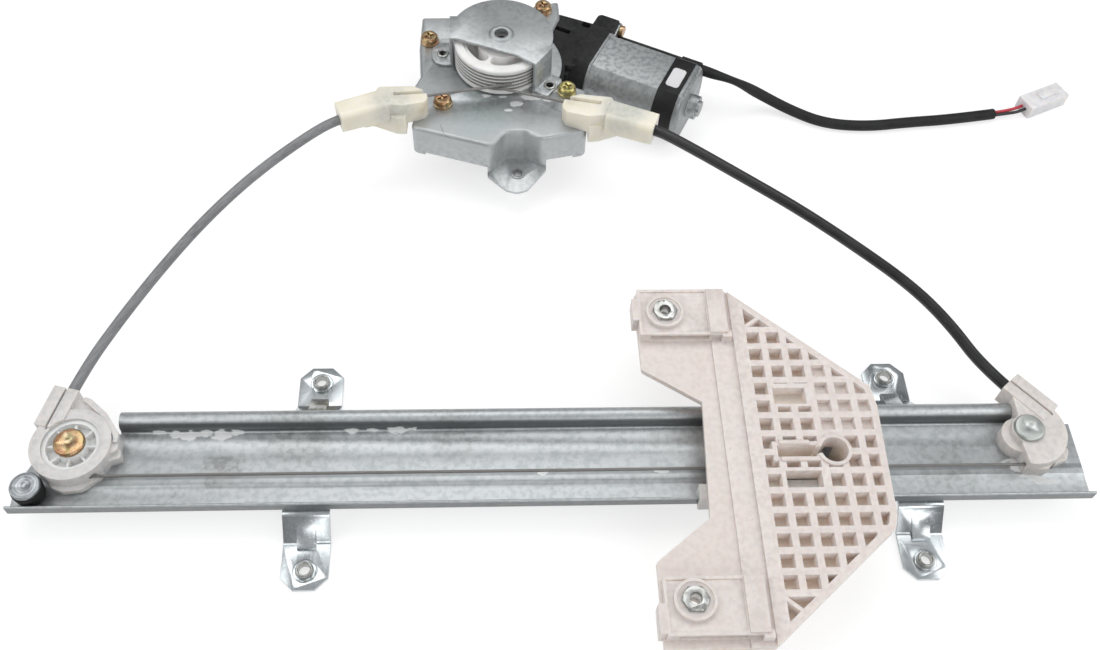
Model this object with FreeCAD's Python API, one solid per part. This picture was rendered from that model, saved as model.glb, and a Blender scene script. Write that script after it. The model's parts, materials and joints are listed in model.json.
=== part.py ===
import FreeCAD, Part
import math
import os
from FreeCAD import Matrix, Vector

# Power window regulator: a guide rail along X, a lift plate that slides on it, and a geared
# motor that winds the lift cable. The rail feet and the motor rest on Z = 0. Sizes in mm.

# Fits and gaps between pieces
RUNNING_FIT = 0.05
SLIDE_GAP = 0.3
PIECE_GAP = 0.3

# Pressed guide rail
RAIL_LEFT = -259.5
RAIL_RIGHT = 211.0
RAIL_SHEET = 1.2
RAIL_BASE = 12.0
LIP_OUTER_Y = -23.6
LIP_TOP = 19.0
STEP_Y = -12.0
STEP_RISE = 0.5
HEM_WALL_Y = 15.5
HEM_RADIUS = 3.6
HEM_WALL_TOP = 16.0
HEM_DROP = 2.6
HEM_LEFT = -218.7
BEND_RADIUS = 1.6
HEM_RIGHT = 183.0
WEB_CORNER_CUT = 12.0

# Rail brackets and their clinch nuts
BRACKET_SPACING = 269.0
NUT_SPACING = 93.0
BRACKET_WIDTH = 20.4
BRACKET_SHEET = 1.6
BRACKET_END = 8.5
BRACKET_CHAMFER = 5.5
BRACKET_RAMP_START = 24.5
BRACKET_RAMP_END = 33.5
BEAD_WIDTH = 8.0
BEAD_RISE = 1.8
BEAD_LENGTH = 10.6
CLINCH_COLLAR_RADIUS = 3.9
CLINCH_COLLAR_HEIGHT = 2.6
CLINCH_SHANK_RADIUS = 3.4
CLINCH_RING_RADIUS = 5.2
M6_BORE_RADIUS = 2.55

# Lift cable and the two ends of its loop
CABLE_RADIUS = 0.75
CABLE_Y = -9.0
CABLE_ROOM = 0.35
LEFT_PULLEY_X = -236.0
LEFT_WRAP_RADIUS = 13.2
LEFT_EXIT_ANGLE = 75.5
LEFT_CABLE_END = 11.0
RIGHT_GUIDE_X = 186.0
RIGHT_WRAP_RADIUS = 14.8
RIGHT_EXIT_ANGLE = 130.0
RIGHT_CABLE_END = 7.0

# Left pulley and its housing
PULLEY_HEIGHT = 6.8
PULLEY_FLANGE = 1.9
HUB_RADIUS = 6.1
PULLEY_WEB_INNER = 7.2
PULLEY_WEB_OUTER = 10.6
PULLEY_SPOKES = 8
HOUSING_FLOOR = 1.5
HOUSING_WALL = 1.8
HOUSING_TOP = 1.2
HOUSING_WINDOW_RADIUS = 12.4
SOCKET_LENGTH = 25.0
SOCKET_WIDTH = 11.5
SOCKET_HEIGHT = 11.0
SOCKET_SLIT = 1.1
RIVET_SHANK_RADIUS = 3.5
RIVET_HEAD_RADIUS = 6.7
RIVET_HEAD_HEIGHT = 2.2
RIVET_TAIL_RADIUS = 5.0
RIVET_TAIL_HEIGHT = 1.4
RIGHT_GUIDE_HEIGHT = 10.6
RIGHT_SOCKET_LENGTH = 20.5

# Rubber stop at the left end of the rail
BUMPER_X = -251.0
BUMPER_Y = -15.4
BUMPER_RADIUS = 6.8
BUMPER_HEIGHT = 9.0
BUMPER_CAP_RADIUS = 6.4
BUMPER_CAP_HEIGHT = 1.8
BUMPER_SHANK_RADIUS = 3.0

# Moulded lift plate
PLATE_UNDER = 26.5
PLATE_TOP = 34.5
ARM_UNDER = 29.0
ARM_TOP = 32.0
BLOCK_LEFT = 56.0
RIM = 3.0
CELL_PITCH = 9.0
CELL_SIZE = 6.0
CELL_DEPTH = 6.4
SHALLOW_CELL_DEPTH = 3.4
CELL_ROWS = 14
CELL_COLUMNS = 6
FIRST_CELL_X = 62.1
FIRST_CELL_Y = 52.1
GLASS_NUT_X = 24.9
GLASS_NUT_SPACING = 137.0
GLASS_NUT_MIDDLE_Y = -7.7
GLASS_NUT_FLATS = 10.0
GLASS_NUT_HEIGHT = 6.0
PAD_TOP = 38.0
NUT_BOSS_TOP = 40.0
NUT_BOSS_RADIUS = 8.6
ROUND_HOLE_X = 92.8
ROUND_HOLE_RADIUS = 5.9
POCKET_LEFT = 68.0
POCKET_RIGHT = 85.0
POCKET_WIDTH = 5.6
NIPPLE_RADIUS = 2.3
NIPPLE_LENGTH = 5.0
SHOE_LEFT = 34.5
UPPER_SHOE_LEFT = 62.0
SHOE_RIGHT = 108.0
SHOE_WALL = 2.4

# Motor plate, drum and cover
DRUM_X = -48.5
DRUM_Y = 226.0
MOTOR_PLATE_TOP = 36.0
MOTOR_PLATE_SHEET = 1.5
PLATE_DISC_RADIUS = 32.5
FLANGE_BOTTOM = 19.4
FLANGE_TOOTH = 1.5
TOOTH_WIDTH = 7.0
FLANGE_BEND = 1.9
FLANGE_BACK = 186.0
TAB_TOP = 15.0
TAB_BORE = 2.3
DRUM_HOLE_RADIUS = 10.5
DRUM_FLANGE_RADIUS = 24.8
DRUM_CABLE_SINK = 0.8
DRUM_BOTTOM = 37.3
DRUM_TOP = 52.6
DRUM_GROOVES = 5
DRUM_GROOVE_PITCH = 2.2
FIRST_GROOVE_Z = 40.4
AXLE_RADIUS = 4.0
AXLE_TOP = 52.0
DRUM_WINDOWS = 4
WINDOW_INNER = 12.5
WINDOW_OUTER = 18.5
WINDOW_HALF_ANGLE = 31.0
COVER_TOP = 56.0
COVER_SHEET = 1.5
COVER_CLEARANCE = 2.4
COVER_HOLE_RADIUS = 3.6
COVER_DIMPLE_RADIUS = 6.8
COVER_CUT_DISTANCE = 11.5
COVER_CUT_ANGLE = -111.7
RIGHT_LEG_ANGLE = -35.9
LEG_WIDTH = 15.5
RIGHT_FOOT_LENGTH = 7.6
LEFT_FOOT_LENGTH = 10.0
FOOT_HOLE = 4.2
LEFT_LEG_WIDTH = 17.0
LEFT_LEG_SHIFT = 5.4
EYELET_RADIUS = 3.3
EYELET_BORE = 1.9
EYELET_WALL = 0.6
EYELET_NECK = EYELET_BORE + EYELET_WALL
PLATE_SCREW_HEAD_RADIUS = 5.0
PLATE_SCREW_HEAD = 4.2
PLATE_SCREW_SHANK = 2.4
PLATE_SCREW_LENGTH = 8.0

# Gear pair: single start worm and helical wheel
MODULE = 1.0
WHEEL_TEETH = 60
WORM_PITCH_RADIUS = 5.0
TOOTH_BACKLASH = 0.34
WORM_LENGTH = 22.0
WORM_Z = 18.0
WHEEL_WIDTH = 8.0
WHEEL_WEB = 3.0
WHEEL_HUB_RADIUS = 8.0
DAMPER_GAP = 0.4
DRIVE_PLATE_SHEET = 1.5
DRIVE_BOSS_RADIUS = 9.0

# Motor can and what it holds
MOTOR_TURN = -27.07
CAN_RADIUS = 21.5
CAN_FLATS = 34.0
CAN_SHEET = 1.5
CAN_START = 42.5
CAN_END = 97.7
CAN_BOSS_RADIUS = 6.6
CAN_BOSS_LENGTH = 6.5
SHAFT_RADIUS = 2.5
SHAFT_START = -19.0
BUSH_RADIUS = 5.0
BUSH_LENGTH = 6.0
MAGNET_THICKNESS = 4.3
MAGNET_GAP = 0.8
CORE_LENGTH = 26.0
CORE_START = 60.0
CORE_SLOTS = 8
WINDING_LENGTH = 4.5
COMMUTATOR_RADIUS = 5.5
COMMUTATOR_LENGTH = 9.0
BAND_START = 82.3
BAND_LENGTH = 11.8
BAND_THICKNESS = 0.6
LABEL_THICKNESS = 0.2
CAN_SCREW_RADIUS = 3.2
CAN_SCREW_SHANK = 1.7
FAR_SCREW = (27.0, 27.6)
NEAR_SCREW = (-25.5, 9.0)

# Gearbox moulding
CUP_WALL = 2.2
CUP_ROOM = 1.0
GEARBOX_FLOOR = 6.0
FLOOR_SHEET = 2.6
WORM_CHAMBER_RADIUS = 7.6
WORM_HOUSING_HALF = 12.0
FLANGE_START = 33.0
FLANGE_HIGH_T = 28.6
GEARBOX_TOP = 34.0
CAN_FLANGE = 1.2
CAN_FLANGE_GROW = 1.0

# Conduits, lead and connector
LEFT_CONDUIT_RADIUS = 2.5
RIGHT_CONDUIT_RADIUS = 2.8
LEAD_RADIUS = 3.0
LEAD_T = 25.2
LEAD_Z = 21.4
LEAD_ENTRY = 3.0
LEAD_ROOM = 0.4
WIRE_RADIUS = 0.9
CONNECTOR_LENGTH = 27.0
CONNECTOR_WIDTH = 11.5
CONNECTOR_HEIGHT = 8.4
CONNECTOR_TURN = 24.5
CONNECTOR_REAR = (250.6, 225.4)
WIRE_SPREAD = 2.7
TERMINAL_HEIGHT = 4.2

# Derived heights, shared by the pieces that meet there
NEAR_WEB_TOP = RAIL_BASE + RAIL_SHEET
FAR_WEB_TOP = NEAR_WEB_TOP + STEP_RISE
HEM_CREST_Y = HEM_WALL_Y + HEM_RADIUS
PULLEY_BOTTOM = FAR_WEB_TOP + HOUSING_FLOOR + PIECE_GAP
CABLE_Z = PULLEY_BOTTOM + PULLEY_HEIGHT / 2
HOUSING_TOP_Z = PULLEY_BOTTOM + PULLEY_HEIGHT + PIECE_GAP + HOUSING_TOP
WHEEL_PITCH_RADIUS = MODULE * WHEEL_TEETH / 2
CENTRE_DISTANCE = WHEEL_PITCH_RADIUS + WORM_PITCH_RADIUS
WORM_LEAD = math.pi * MODULE
WHEEL_BOTTOM = WORM_Z - WHEEL_WIDTH / 2
CUP_INNER = WHEEL_PITCH_RADIUS + MODULE + CUP_ROOM
MOTOR_PLATE_UNDER = MOTOR_PLATE_TOP - MOTOR_PLATE_SHEET
CORE_RADIUS = CAN_RADIUS - CAN_SHEET - MAGNET_THICKNESS - MAGNET_GAP
DRUM_CABLE_RADIUS = DRUM_FLANGE_RADIUS - DRUM_CABLE_SINK
COVER_RADIUS = DRUM_FLANGE_RADIUS + COVER_CLEARANCE
LEFT_PULLEY_Y = CABLE_Y + LEFT_WRAP_RADIUS
RIGHT_GUIDE_Y = CABLE_Y + RIGHT_WRAP_RADIUS
UP = Vector(0, 0, 1)

# Hand-picked routes of the cords
LEFT_ROUTE_START = 37.5
RIGHT_ROUTE_START = 32.0
LEFT_CONDUIT_ROUTE = [(-227.2, 68.6, 22.0), (-209.9, 95.8, 28.2), (-190.5, 121.5, 34.6),
                      (-169.0, 146.0, 38.9), (-145.0, 167.6, 42.2), (-131.5, 177.0, 43.4),
                      (-119.5, 181.6, 43.6)]
RIGHT_CONDUIT_ROUTE = [(162.0, 63.6, 25.6), (146.0, 81.8, 30.3), (122.0, 102.0, 34.6), (97.0, 121.9, 38.2),
                       (71.0, 140.4, 41.0), (44.0, 160.3, 42.9), (29.8, 170.2, 43.4), (17.0, 175.1, 43.4)]
LEAD_ROUTE = [(82.2, 228.4, 20.8), (98.0, 230.0, 9.2), (114.9, 223.5, 3.6), (133.0, 213.6, 3.1),
              (157.0, 211.2, 3.2), (181.0, 214.6, 3.1), (206.0, 216.8, 3.2), (232.2, 221.3, 3.1)]


# Shared ways of making shapes

def rounded_path(points, radii):
    # Straight runs joined by tangent arcs; radii holds one radius for each inner point
    edges = []
    start = points[0]
    for before, corner, after, radius in zip(points, points[1:], points[2:], radii):
        incoming = (corner - before).normalize()
        outgoing = (after - corner).normalize()
        turn = incoming.getAngle(outgoing)
        if radius <= 0 or turn < 1e-4:
            edges.append(Part.LineSegment(start, corner).toShape())
            start = corner
            continue
        setback = radius * math.tan(turn / 2)
        first = corner - incoming * setback
        last = corner + outgoing * setback
        inward = (outgoing - incoming).normalize()
        centre = corner + inward * (radius / math.cos(turn / 2))
        middle = centre - inward * radius
        if (first - start).Length > 1e-6:
            edges.append(Part.LineSegment(start, first).toShape())
        edges.append(Part.Arc(first, middle, last).toShape())
        start = last
    if (points[-1] - start).Length > 1e-6:
        edges.append(Part.LineSegment(start, points[-1]).toShape())
    return edges


def flat_points(pairs, z=0.0):
    return [Vector(x, y, z) for x, y in pairs]


def closed_outline(pairs, radius, z=0.0):
    # A closed outline in plan from the middle of its first side; radius is one value or one for each corner
    points = flat_points(pairs, z)
    radii = list(radius) if isinstance(radius, (list, tuple)) else [radius] * len(pairs)
    middle = (points[0] + points[1]) * 0.5
    loop = [middle] + points[1:] + [points[0], middle]
    return Part.Wire(rounded_path(loop, radii[1:] + radii[:1]))


def prism(pairs, bottom, top, radius=0.0):
    face = Part.Face(closed_outline(pairs, radius, bottom))
    return face.extrude(UP * (top - bottom))


def block(low, high):
    size = [b - a for a, b in zip(low, high)]
    return Part.makeBox(*size, Vector(*low))


def cylinder(radius, bottom, top, x=0.0, y=0.0):
    return Part.makeCylinder(radius, top - bottom, Vector(x, y, bottom))


def turned(profile):
    # A solid of revolution about Z from (radius, height) points
    points = [Vector(r, 0, z) for r, z in profile]
    face = Part.Face(Part.makePolygon(points + [points[0]]))
    return face.revolve(Vector(0, 0, 0), UP, 360)


def hexagon(flats, bottom, top, x=0.0, y=0.0, turn=0.0):
    corner = flats / math.sqrt(3)
    angles = [math.radians(turn + 60 * i) for i in range(6)]
    pairs = [(x + corner * math.cos(a), y + corner * math.sin(a)) for a in angles]
    return prism(pairs, bottom, top)


def sheet_strip(edges, thickness):
    # The cross-section of a pressed sheet whose middle follows the edges
    wire = Part.Wire(edges)
    return Part.Face(wire.makeOffset2D(thickness / 2, 0, False, False))


def tube(edges, radius):
    start = edges[0].valueAt(edges[0].FirstParameter)
    direction = edges[0].tangentAt(edges[0].FirstParameter)
    ring = Part.Wire(Part.makeCircle(radius, start, direction))
    return Part.Wire(edges).makePipeShell([ring], True, True)


def path_length(edges):
    return sum(edge.Length for edge in edges)


def cord_path(points):
    # Each arc is as large as the shorter of its two runs allows
    radii = []
    for before, corner, after in zip(points, points[1:], points[2:]):
        shorter = min((corner - before).Length, (after - corner).Length)
        half_turn = (corner - before).getAngle(after - corner) / 2
        radii.append(0.45 * shorter / math.tan(half_turn))
    return rounded_path(points, radii), radii


def cord_tube(points, radius):
    return tube(cord_path(points)[0], radius)


def cord(name, points, radius):
    edges, radii = cord_path(points)
    solid = tube(edges, radius)
    length = path_length(edges)
    expected = math.pi * radius ** 2 * length
    print(name, "length", round(length, 1), "radii", [round(r) for r in radii],
          "volume ratio", round(solid.Volume / expected, 4))
    return solid


def direction(angle):
    return Vector(math.cos(math.radians(angle)), math.sin(math.radians(angle)), 0)


def turned_block(length_range, width_range, z_range, origin, angle):
    # A block whose length runs along a direction in plan
    solid = block((length_range[0], width_range[0], z_range[0]),
                  (length_range[1], width_range[1], z_range[1]))
    solid.rotate(Vector(0, 0, 0), UP, angle)
    solid.translate(Vector(origin[0], origin[1], 0))
    return solid


def motor_matrix():
    # Motor axes: s along the shaft away from the worm, t across towards the far side
    along = direction(MOTOR_TURN)
    across = direction(MOTOR_TURN + 90)
    origin = Vector(DRUM_X, DRUM_Y, 0) + across * CENTRE_DISTANCE
    return Matrix(along.x, across.x, 0, origin.x, along.y, across.y, 0, origin.y, 0, 0, 1, 0, 0, 0, 0, 1)


def on_motor(solid):
    placed = solid.copy()
    placed.transformShape(motor_matrix())
    return placed


def motor_point(s, t, z):
    return motor_matrix().multVec(Vector(s, t, z))


def along_shaft(radius, start, end, t=0.0, z=WORM_Z):
    # A cylinder along the first axis: the shaft's in motor axes, the rail's in the part's own
    return Part.makeCylinder(radius, end - start, Vector(start, t, z), Vector(1, 0, 0))


# Guide rail and brackets

def rail_section():
    half = RAIL_SHEET / 2
    near = LIP_OUTER_Y + half
    low = RAIL_BASE + half
    high = low + STEP_RISE
    crest_z = HEM_WALL_TOP
    far = HEM_WALL_Y + 2 * HEM_RADIUS
    points = [Vector(0, y, z) for y, z in ((near, LIP_TOP - half), (near, low), (STEP_Y - 1, low),
                                            (STEP_Y + 1, high), (HEM_WALL_Y, high), (HEM_WALL_Y, crest_z))]
    edges = rounded_path(points, [BEND_RADIUS, 0, 0, BEND_RADIUS])
    over = Vector(0, HEM_CREST_Y, crest_z + HEM_RADIUS)
    edges.append(Part.Arc(Vector(0, HEM_WALL_Y, crest_z), over, Vector(0, far, crest_z)).toShape())
    edges.append(Part.LineSegment(Vector(0, far, crest_z), Vector(0, far, crest_z - HEM_DROP)).toShape())
    return sheet_strip(edges, RAIL_SHEET)


def guide_rail():
    rail = rail_section().extrude(Vector(RAIL_RIGHT - RAIL_LEFT, 0, 0))
    rail.translate(Vector(RAIL_LEFT, 0, 0))
    hem_near = HEM_WALL_Y - BEND_RADIUS
    rail = rail.cut(block((RAIL_LEFT - 1, hem_near, 0), (HEM_LEFT, 40, 40)))
    rail = rail.cut(block((HEM_RIGHT, hem_near, 0), (RAIL_RIGHT + 1, 40, 40)))
    socket_side = right_exit(0)
    near_side = SOCKET_WIDTH / 2 + PIECE_GAP
    relief = turned_block((-30, 60), (-60, near_side), (0, 40), (socket_side.x, socket_side.y),
                          RIGHT_EXIT_ANGLE)
    rail = rail.cut(relief.common(block((0, hem_near, 0), (RAIL_RIGHT + 1, 60, 40))))
    corner = [(RAIL_LEFT - 1, hem_near + 1), (RAIL_LEFT - 1, STEP_Y), (RAIL_LEFT, STEP_Y),
              (RAIL_LEFT + WEB_CORNER_CUT, hem_near + 1)]
    rail = rail.cut(prism(corner, 0, 40))
    for x, y, radius in ((LEFT_PULLEY_X, LEFT_PULLEY_Y, RIVET_SHANK_RADIUS),
                         (RIGHT_GUIDE_X, RIGHT_GUIDE_Y, RIVET_SHANK_RADIUS),
                         (BUMPER_X, BUMPER_Y, BUMPER_SHANK_RADIUS)):
        rail = rail.cut(cylinder(radius, 0, 20, x, y))
    return rail


def rail_bracket(x):
    half = BRACKET_SHEET / 2
    top = RAIL_BASE - half
    end = NUT_SPACING / 2 + BRACKET_END
    half_points = [(end, half), (BRACKET_RAMP_END, half), (BRACKET_RAMP_START, top)]
    mirrored = [(-y, z) for y, z in reversed(half_points)]
    points = [Vector(0, y, z) for y, z in half_points + mirrored]
    strip = sheet_strip(rounded_path(points, [2.5] * 4), BRACKET_SHEET).extrude(Vector(BRACKET_WIDTH, 0, 0))
    strip.translate(Vector(x - BRACKET_WIDTH / 2, 0, 0))
    side = BRACKET_WIDTH / 2
    outline = [(x - side, end - BRACKET_CHAMFER), (x - side + BRACKET_CHAMFER, end),
               (x + side - BRACKET_CHAMFER, end), (x + side, end - BRACKET_CHAMFER),
               (x + side, -end + BRACKET_CHAMFER), (x + side - BRACKET_CHAMFER, -end),
               (x - side + BRACKET_CHAMFER, -end), (x - side, -end + BRACKET_CHAMFER)]
    strip = strip.common(prism(outline, -1, RAIL_BASE + 1))
    for side_sign in (-1, 1):
        strip = strip.fuse(bracket_bead(x, side_sign))
        y = side_sign * NUT_SPACING / 2
        ring = cylinder(CLINCH_RING_RADIUS, BRACKET_SHEET - 0.4, 5, x, y)
        strip = strip.cut(ring.cut(cylinder(CLINCH_COLLAR_RADIUS + 0.1, 0, 5, x, y)))
        strip = strip.cut(cylinder(CLINCH_SHANK_RADIUS, -1, 5, x, y))
    return strip.removeSplitter()


def bracket_bead(x, side_sign):
    # A pressed stiffening bead that fills the bend between the foot and the ramp
    start = BRACKET_RAMP_START + 2
    end = start + BEAD_LENGTH
    top = RAIL_BASE - BRACKET_SHEET - 2.4
    rise = BRACKET_SHEET + BEAD_RISE
    profile = [(end, BRACKET_SHEET - 0.4), (end, rise), (end - 2, rise + 0.6), (start + 1, top + 0.8),
               (start, top), (BRACKET_RAMP_END - 1, BRACKET_SHEET - 0.4)]
    points = [Vector(x - BEAD_WIDTH / 2, side_sign * y, z) for y, z in profile]
    face = Part.Face(Part.makePolygon(points + [points[0]]))
    return face.extrude(Vector(BEAD_WIDTH, 0, 0))


def bracket_nuts():
    # Clinched nuts: a shank through the sheet and a bevelled round collar above it
    nuts = []
    top = BRACKET_SHEET + CLINCH_COLLAR_HEIGHT
    profile = [(M6_BORE_RADIUS, 0), (CLINCH_SHANK_RADIUS, 0), (CLINCH_SHANK_RADIUS, BRACKET_SHEET),
               (CLINCH_COLLAR_RADIUS, BRACKET_SHEET), (CLINCH_COLLAR_RADIUS, top - 0.9),
               (CLINCH_COLLAR_RADIUS - 0.6, top), (M6_BORE_RADIUS + 0.4, top), (M6_BORE_RADIUS, top - 0.4)]
    for x in (-BRACKET_SPACING / 2, BRACKET_SPACING / 2):
        for y in (-NUT_SPACING / 2, NUT_SPACING / 2):
            nut = turned(profile)
            nut.translate(Vector(x, y, 0))
            nuts.append(nut)
    return Part.makeCompound(nuts)


def nut_chamfer(flats, bottom, top, x, y):
    # A turned envelope that bevels the top corners of a hexagon
    outer = flats / math.sqrt(3) + 0.1
    inner = flats / 2
    rise = (outer - inner) * 0.7
    envelope = turned([(0, bottom), (outer, bottom), (outer, top - rise), (inner, top), (0, top)])
    envelope.translate(Vector(x, y, 0))
    return envelope


# Cable loop ends

def exit_point(x, y, wrap_radius, exit_angle, side):
    # Where the cable leaves its wrap towards the conduit
    return Vector(x, y, CABLE_Z) + direction(exit_angle + side * 90) * wrap_radius


def left_exit(distance):
    tangent = exit_point(LEFT_PULLEY_X, LEFT_PULLEY_Y, LEFT_WRAP_RADIUS, LEFT_EXIT_ANGLE, 1)
    return tangent + direction(LEFT_EXIT_ANGLE) * distance


def right_exit(distance):
    tangent = exit_point(RIGHT_GUIDE_X, RIGHT_GUIDE_Y, RIGHT_WRAP_RADIUS, RIGHT_EXIT_ANGLE, -1)
    return tangent + direction(RIGHT_EXIT_ANGLE) * distance


def rail_cable_edges():
    left_centre = Vector(LEFT_PULLEY_X, LEFT_PULLEY_Y, CABLE_Z)
    right_centre = Vector(RIGHT_GUIDE_X, RIGHT_GUIDE_Y, CABLE_Z)
    left_low = left_centre - Vector(0, LEFT_WRAP_RADIUS, 0)
    right_low = right_centre - Vector(0, RIGHT_WRAP_RADIUS, 0)
    left_mid = left_centre + direction((LEFT_EXIT_ANGLE + 90 + 270) / 2) * LEFT_WRAP_RADIUS
    right_mid = right_centre + direction((RIGHT_EXIT_ANGLE - 90 - 90) / 2) * RIGHT_WRAP_RADIUS
    return [Part.LineSegment(left_exit(LEFT_CABLE_END), left_exit(0)).toShape(),
            Part.Arc(left_exit(0), left_mid, left_low).toShape(),
            Part.LineSegment(left_low, right_low).toShape(),
            Part.Arc(right_low, right_mid, right_exit(0)).toShape(),
            Part.LineSegment(right_exit(0), right_exit(RIGHT_CABLE_END)).toShape()]


def rail_cable():
    return tube(rail_cable_edges(), CABLE_RADIUS)


def cable_tunnel():
    return tube(rail_cable_edges(), CABLE_RADIUS + CABLE_ROOM)


def conduit_socket(origin, angle, start, end, conduit_radius, cable_end):
    # A block round the conduit's end, with the bore and the slit that the cable is laid in through
    bottom = FAR_WEB_TOP
    top = bottom + SOCKET_HEIGHT
    place = (origin.x, origin.y)
    body = turned_block((start, end), (-SOCKET_WIDTH / 2, SOCKET_WIDTH / 2), (bottom, top), place, angle)
    bore_start = origin + direction(angle) * cable_end
    bore = Part.makeCylinder(conduit_radius, end, bore_start, direction(angle))
    half_slit = SOCKET_SLIT / 2
    slit = turned_block((start - 1, end + 1), (-half_slit, half_slit), (CABLE_Z, top + 1), place, angle)
    return body, bore.fuse(slit)


def left_pulley_housing():
    x, y = LEFT_PULLEY_X, LEFT_PULLEY_Y
    outer = LEFT_WRAP_RADIUS + PULLEY_FLANGE + PIECE_GAP + HOUSING_WALL
    body = cylinder(outer, FAR_WEB_TOP, HOUSING_TOP_Z, x, y)
    fairing = [(x - 9.0, y + 22.5), (x + 3.5, y + 23.6), (x + 13.0, y + 15.0), (x + 19.8, y + 5.0),
               (x + 19.6, y - 2.0), (x + 16.6, y - 4.0), (x, y - 2.0), (x - 10.0, y + 10.0)]
    radii = [2.0, 6.0, 9.0, 6.0, 1.2, 1.2, 0, 0]
    web = prism(fairing, FAR_WEB_TOP, HOUSING_TOP_Z - 2.2, radii)
    tail = [(x + 14.0, y + 1.5), (x + 20.2, y - 0.5), (x + 20.8, y - 4.4), (x + 14.0, y - 7.0)]
    skirt = [(x - 12.0, y - 8.0), (x - 6.5, y - 17.6), (x - 1.5, y - 19.4), (x + 6.0, y - 18.6),
             (x + 14.0, y - 12.0), (x + 14.0, y - 6.0)]
    body = body.fuse(web).fuse(prism(tail, FAR_WEB_TOP, FAR_WEB_TOP + 5.2, 1.2))
    body = body.fuse(fairing_rim(fairing, radii))
    body = body.fuse(prism(skirt, FAR_WEB_TOP, FAR_WEB_TOP + 3.2, [0, 3.0, 4.0, 4.0, 3.0, 0]))
    socket, opening = conduit_socket(left_exit(0), LEFT_EXIT_ANGLE, 5.0, SOCKET_LENGTH, LEFT_CONDUIT_RADIUS,
                                     LEFT_CABLE_END)
    body = body.fuse(socket)
    room = LEFT_WRAP_RADIUS + PULLEY_FLANGE + PIECE_GAP
    body = body.cut(cylinder(room, FAR_WEB_TOP + HOUSING_FLOOR, HOUSING_TOP_Z - HOUSING_TOP, x, y))
    body = body.cut(cylinder(HOUSING_WINDOW_RADIUS, FAR_WEB_TOP + HOUSING_FLOOR, HOUSING_TOP_Z + 20, x, y))
    body = body.cut(opening).cut(cable_tunnel()).cut(cylinder(RIVET_SHANK_RADIUS, 0, 40, x, y))
    return body.removeSplitter()


def fairing_rim(fairing, radii):
    # The raised edge that sweeps from the socket round the web to the pulley's ring
    outer = prism(fairing, FAR_WEB_TOP, HOUSING_TOP_Z - 0.6, radii)
    inner = prism([(x - 2.0, y - 1.6) for x, y in fairing], 0, 60, radii)
    keep = block((fairing[1][0] - 2.0, fairing[3][1] - 4.0, 0), (fairing[3][0] + 1, fairing[1][1] + 1, 60))
    return outer.cut(inner).common(keep)


def left_pulley():
    groove = LEFT_WRAP_RADIUS - CABLE_RADIUS - RUNNING_FIT
    rim = LEFT_WRAP_RADIUS + PULLEY_FLANGE
    half = PULLEY_HEIGHT / 2
    depth = rim - groove
    bore = RIVET_SHANK_RADIUS + RUNNING_FIT
    hub_top = half + HOUSING_TOP
    profile = [(bore, -half), (rim, -half), (rim, -half + 0.8), (groove, -0.9), (groove, 0.9),
               (rim, half - 0.8), (rim, half), (PULLEY_WEB_OUTER, half), (PULLEY_WEB_OUTER, -0.6),
               (PULLEY_WEB_INNER, -0.6), (HUB_RADIUS, half), (HUB_RADIUS, hub_top), (bore, hub_top)]
    pulley = turned(profile)
    for i in range(PULLEY_SPOKES):
        spoke = block((HUB_RADIUS - 0.5, -0.5, -0.6), (PULLEY_WEB_OUTER + depth / 4, 0.5, half - 1.2))
        spoke.rotate(Vector(0, 0, 0), UP, i * 360 / PULLEY_SPOKES)
        pulley = pulley.fuse(spoke)
    pulley.translate(Vector(LEFT_PULLEY_X, LEFT_PULLEY_Y, CABLE_Z))
    return pulley.removeSplitter()


def shouldered_rivet(x, y, seat, head_radius, shank_radius, head_height, bottom):
    # A flat head with a small dimple on its seat, a shank, and a closed tail under the sheet
    tail = bottom - RIVET_TAIL_HEIGHT
    top = seat + head_height
    profile = [(0, tail), (RIVET_TAIL_RADIUS - 1, tail), (RIVET_TAIL_RADIUS, bottom - 0.4),
               (RIVET_TAIL_RADIUS, bottom), (shank_radius, bottom), (shank_radius, seat), (head_radius, seat),
               (head_radius, top - 0.6), (head_radius - 0.6, top), (head_radius * 0.3, top),
               (head_radius * 0.2, top - 0.3), (0, top - 0.3)]
    rivet = turned(profile)
    rivet.translate(Vector(x, y, 0))
    return rivet


def left_pulley_rivet():
    seat = CABLE_Z + PULLEY_HEIGHT / 2 + HOUSING_TOP + RUNNING_FIT
    return shouldered_rivet(LEFT_PULLEY_X, LEFT_PULLEY_Y, seat, RIVET_HEAD_RADIUS, RIVET_SHANK_RADIUS,
                            RIVET_HEAD_HEIGHT, RAIL_BASE + STEP_RISE)


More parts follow.
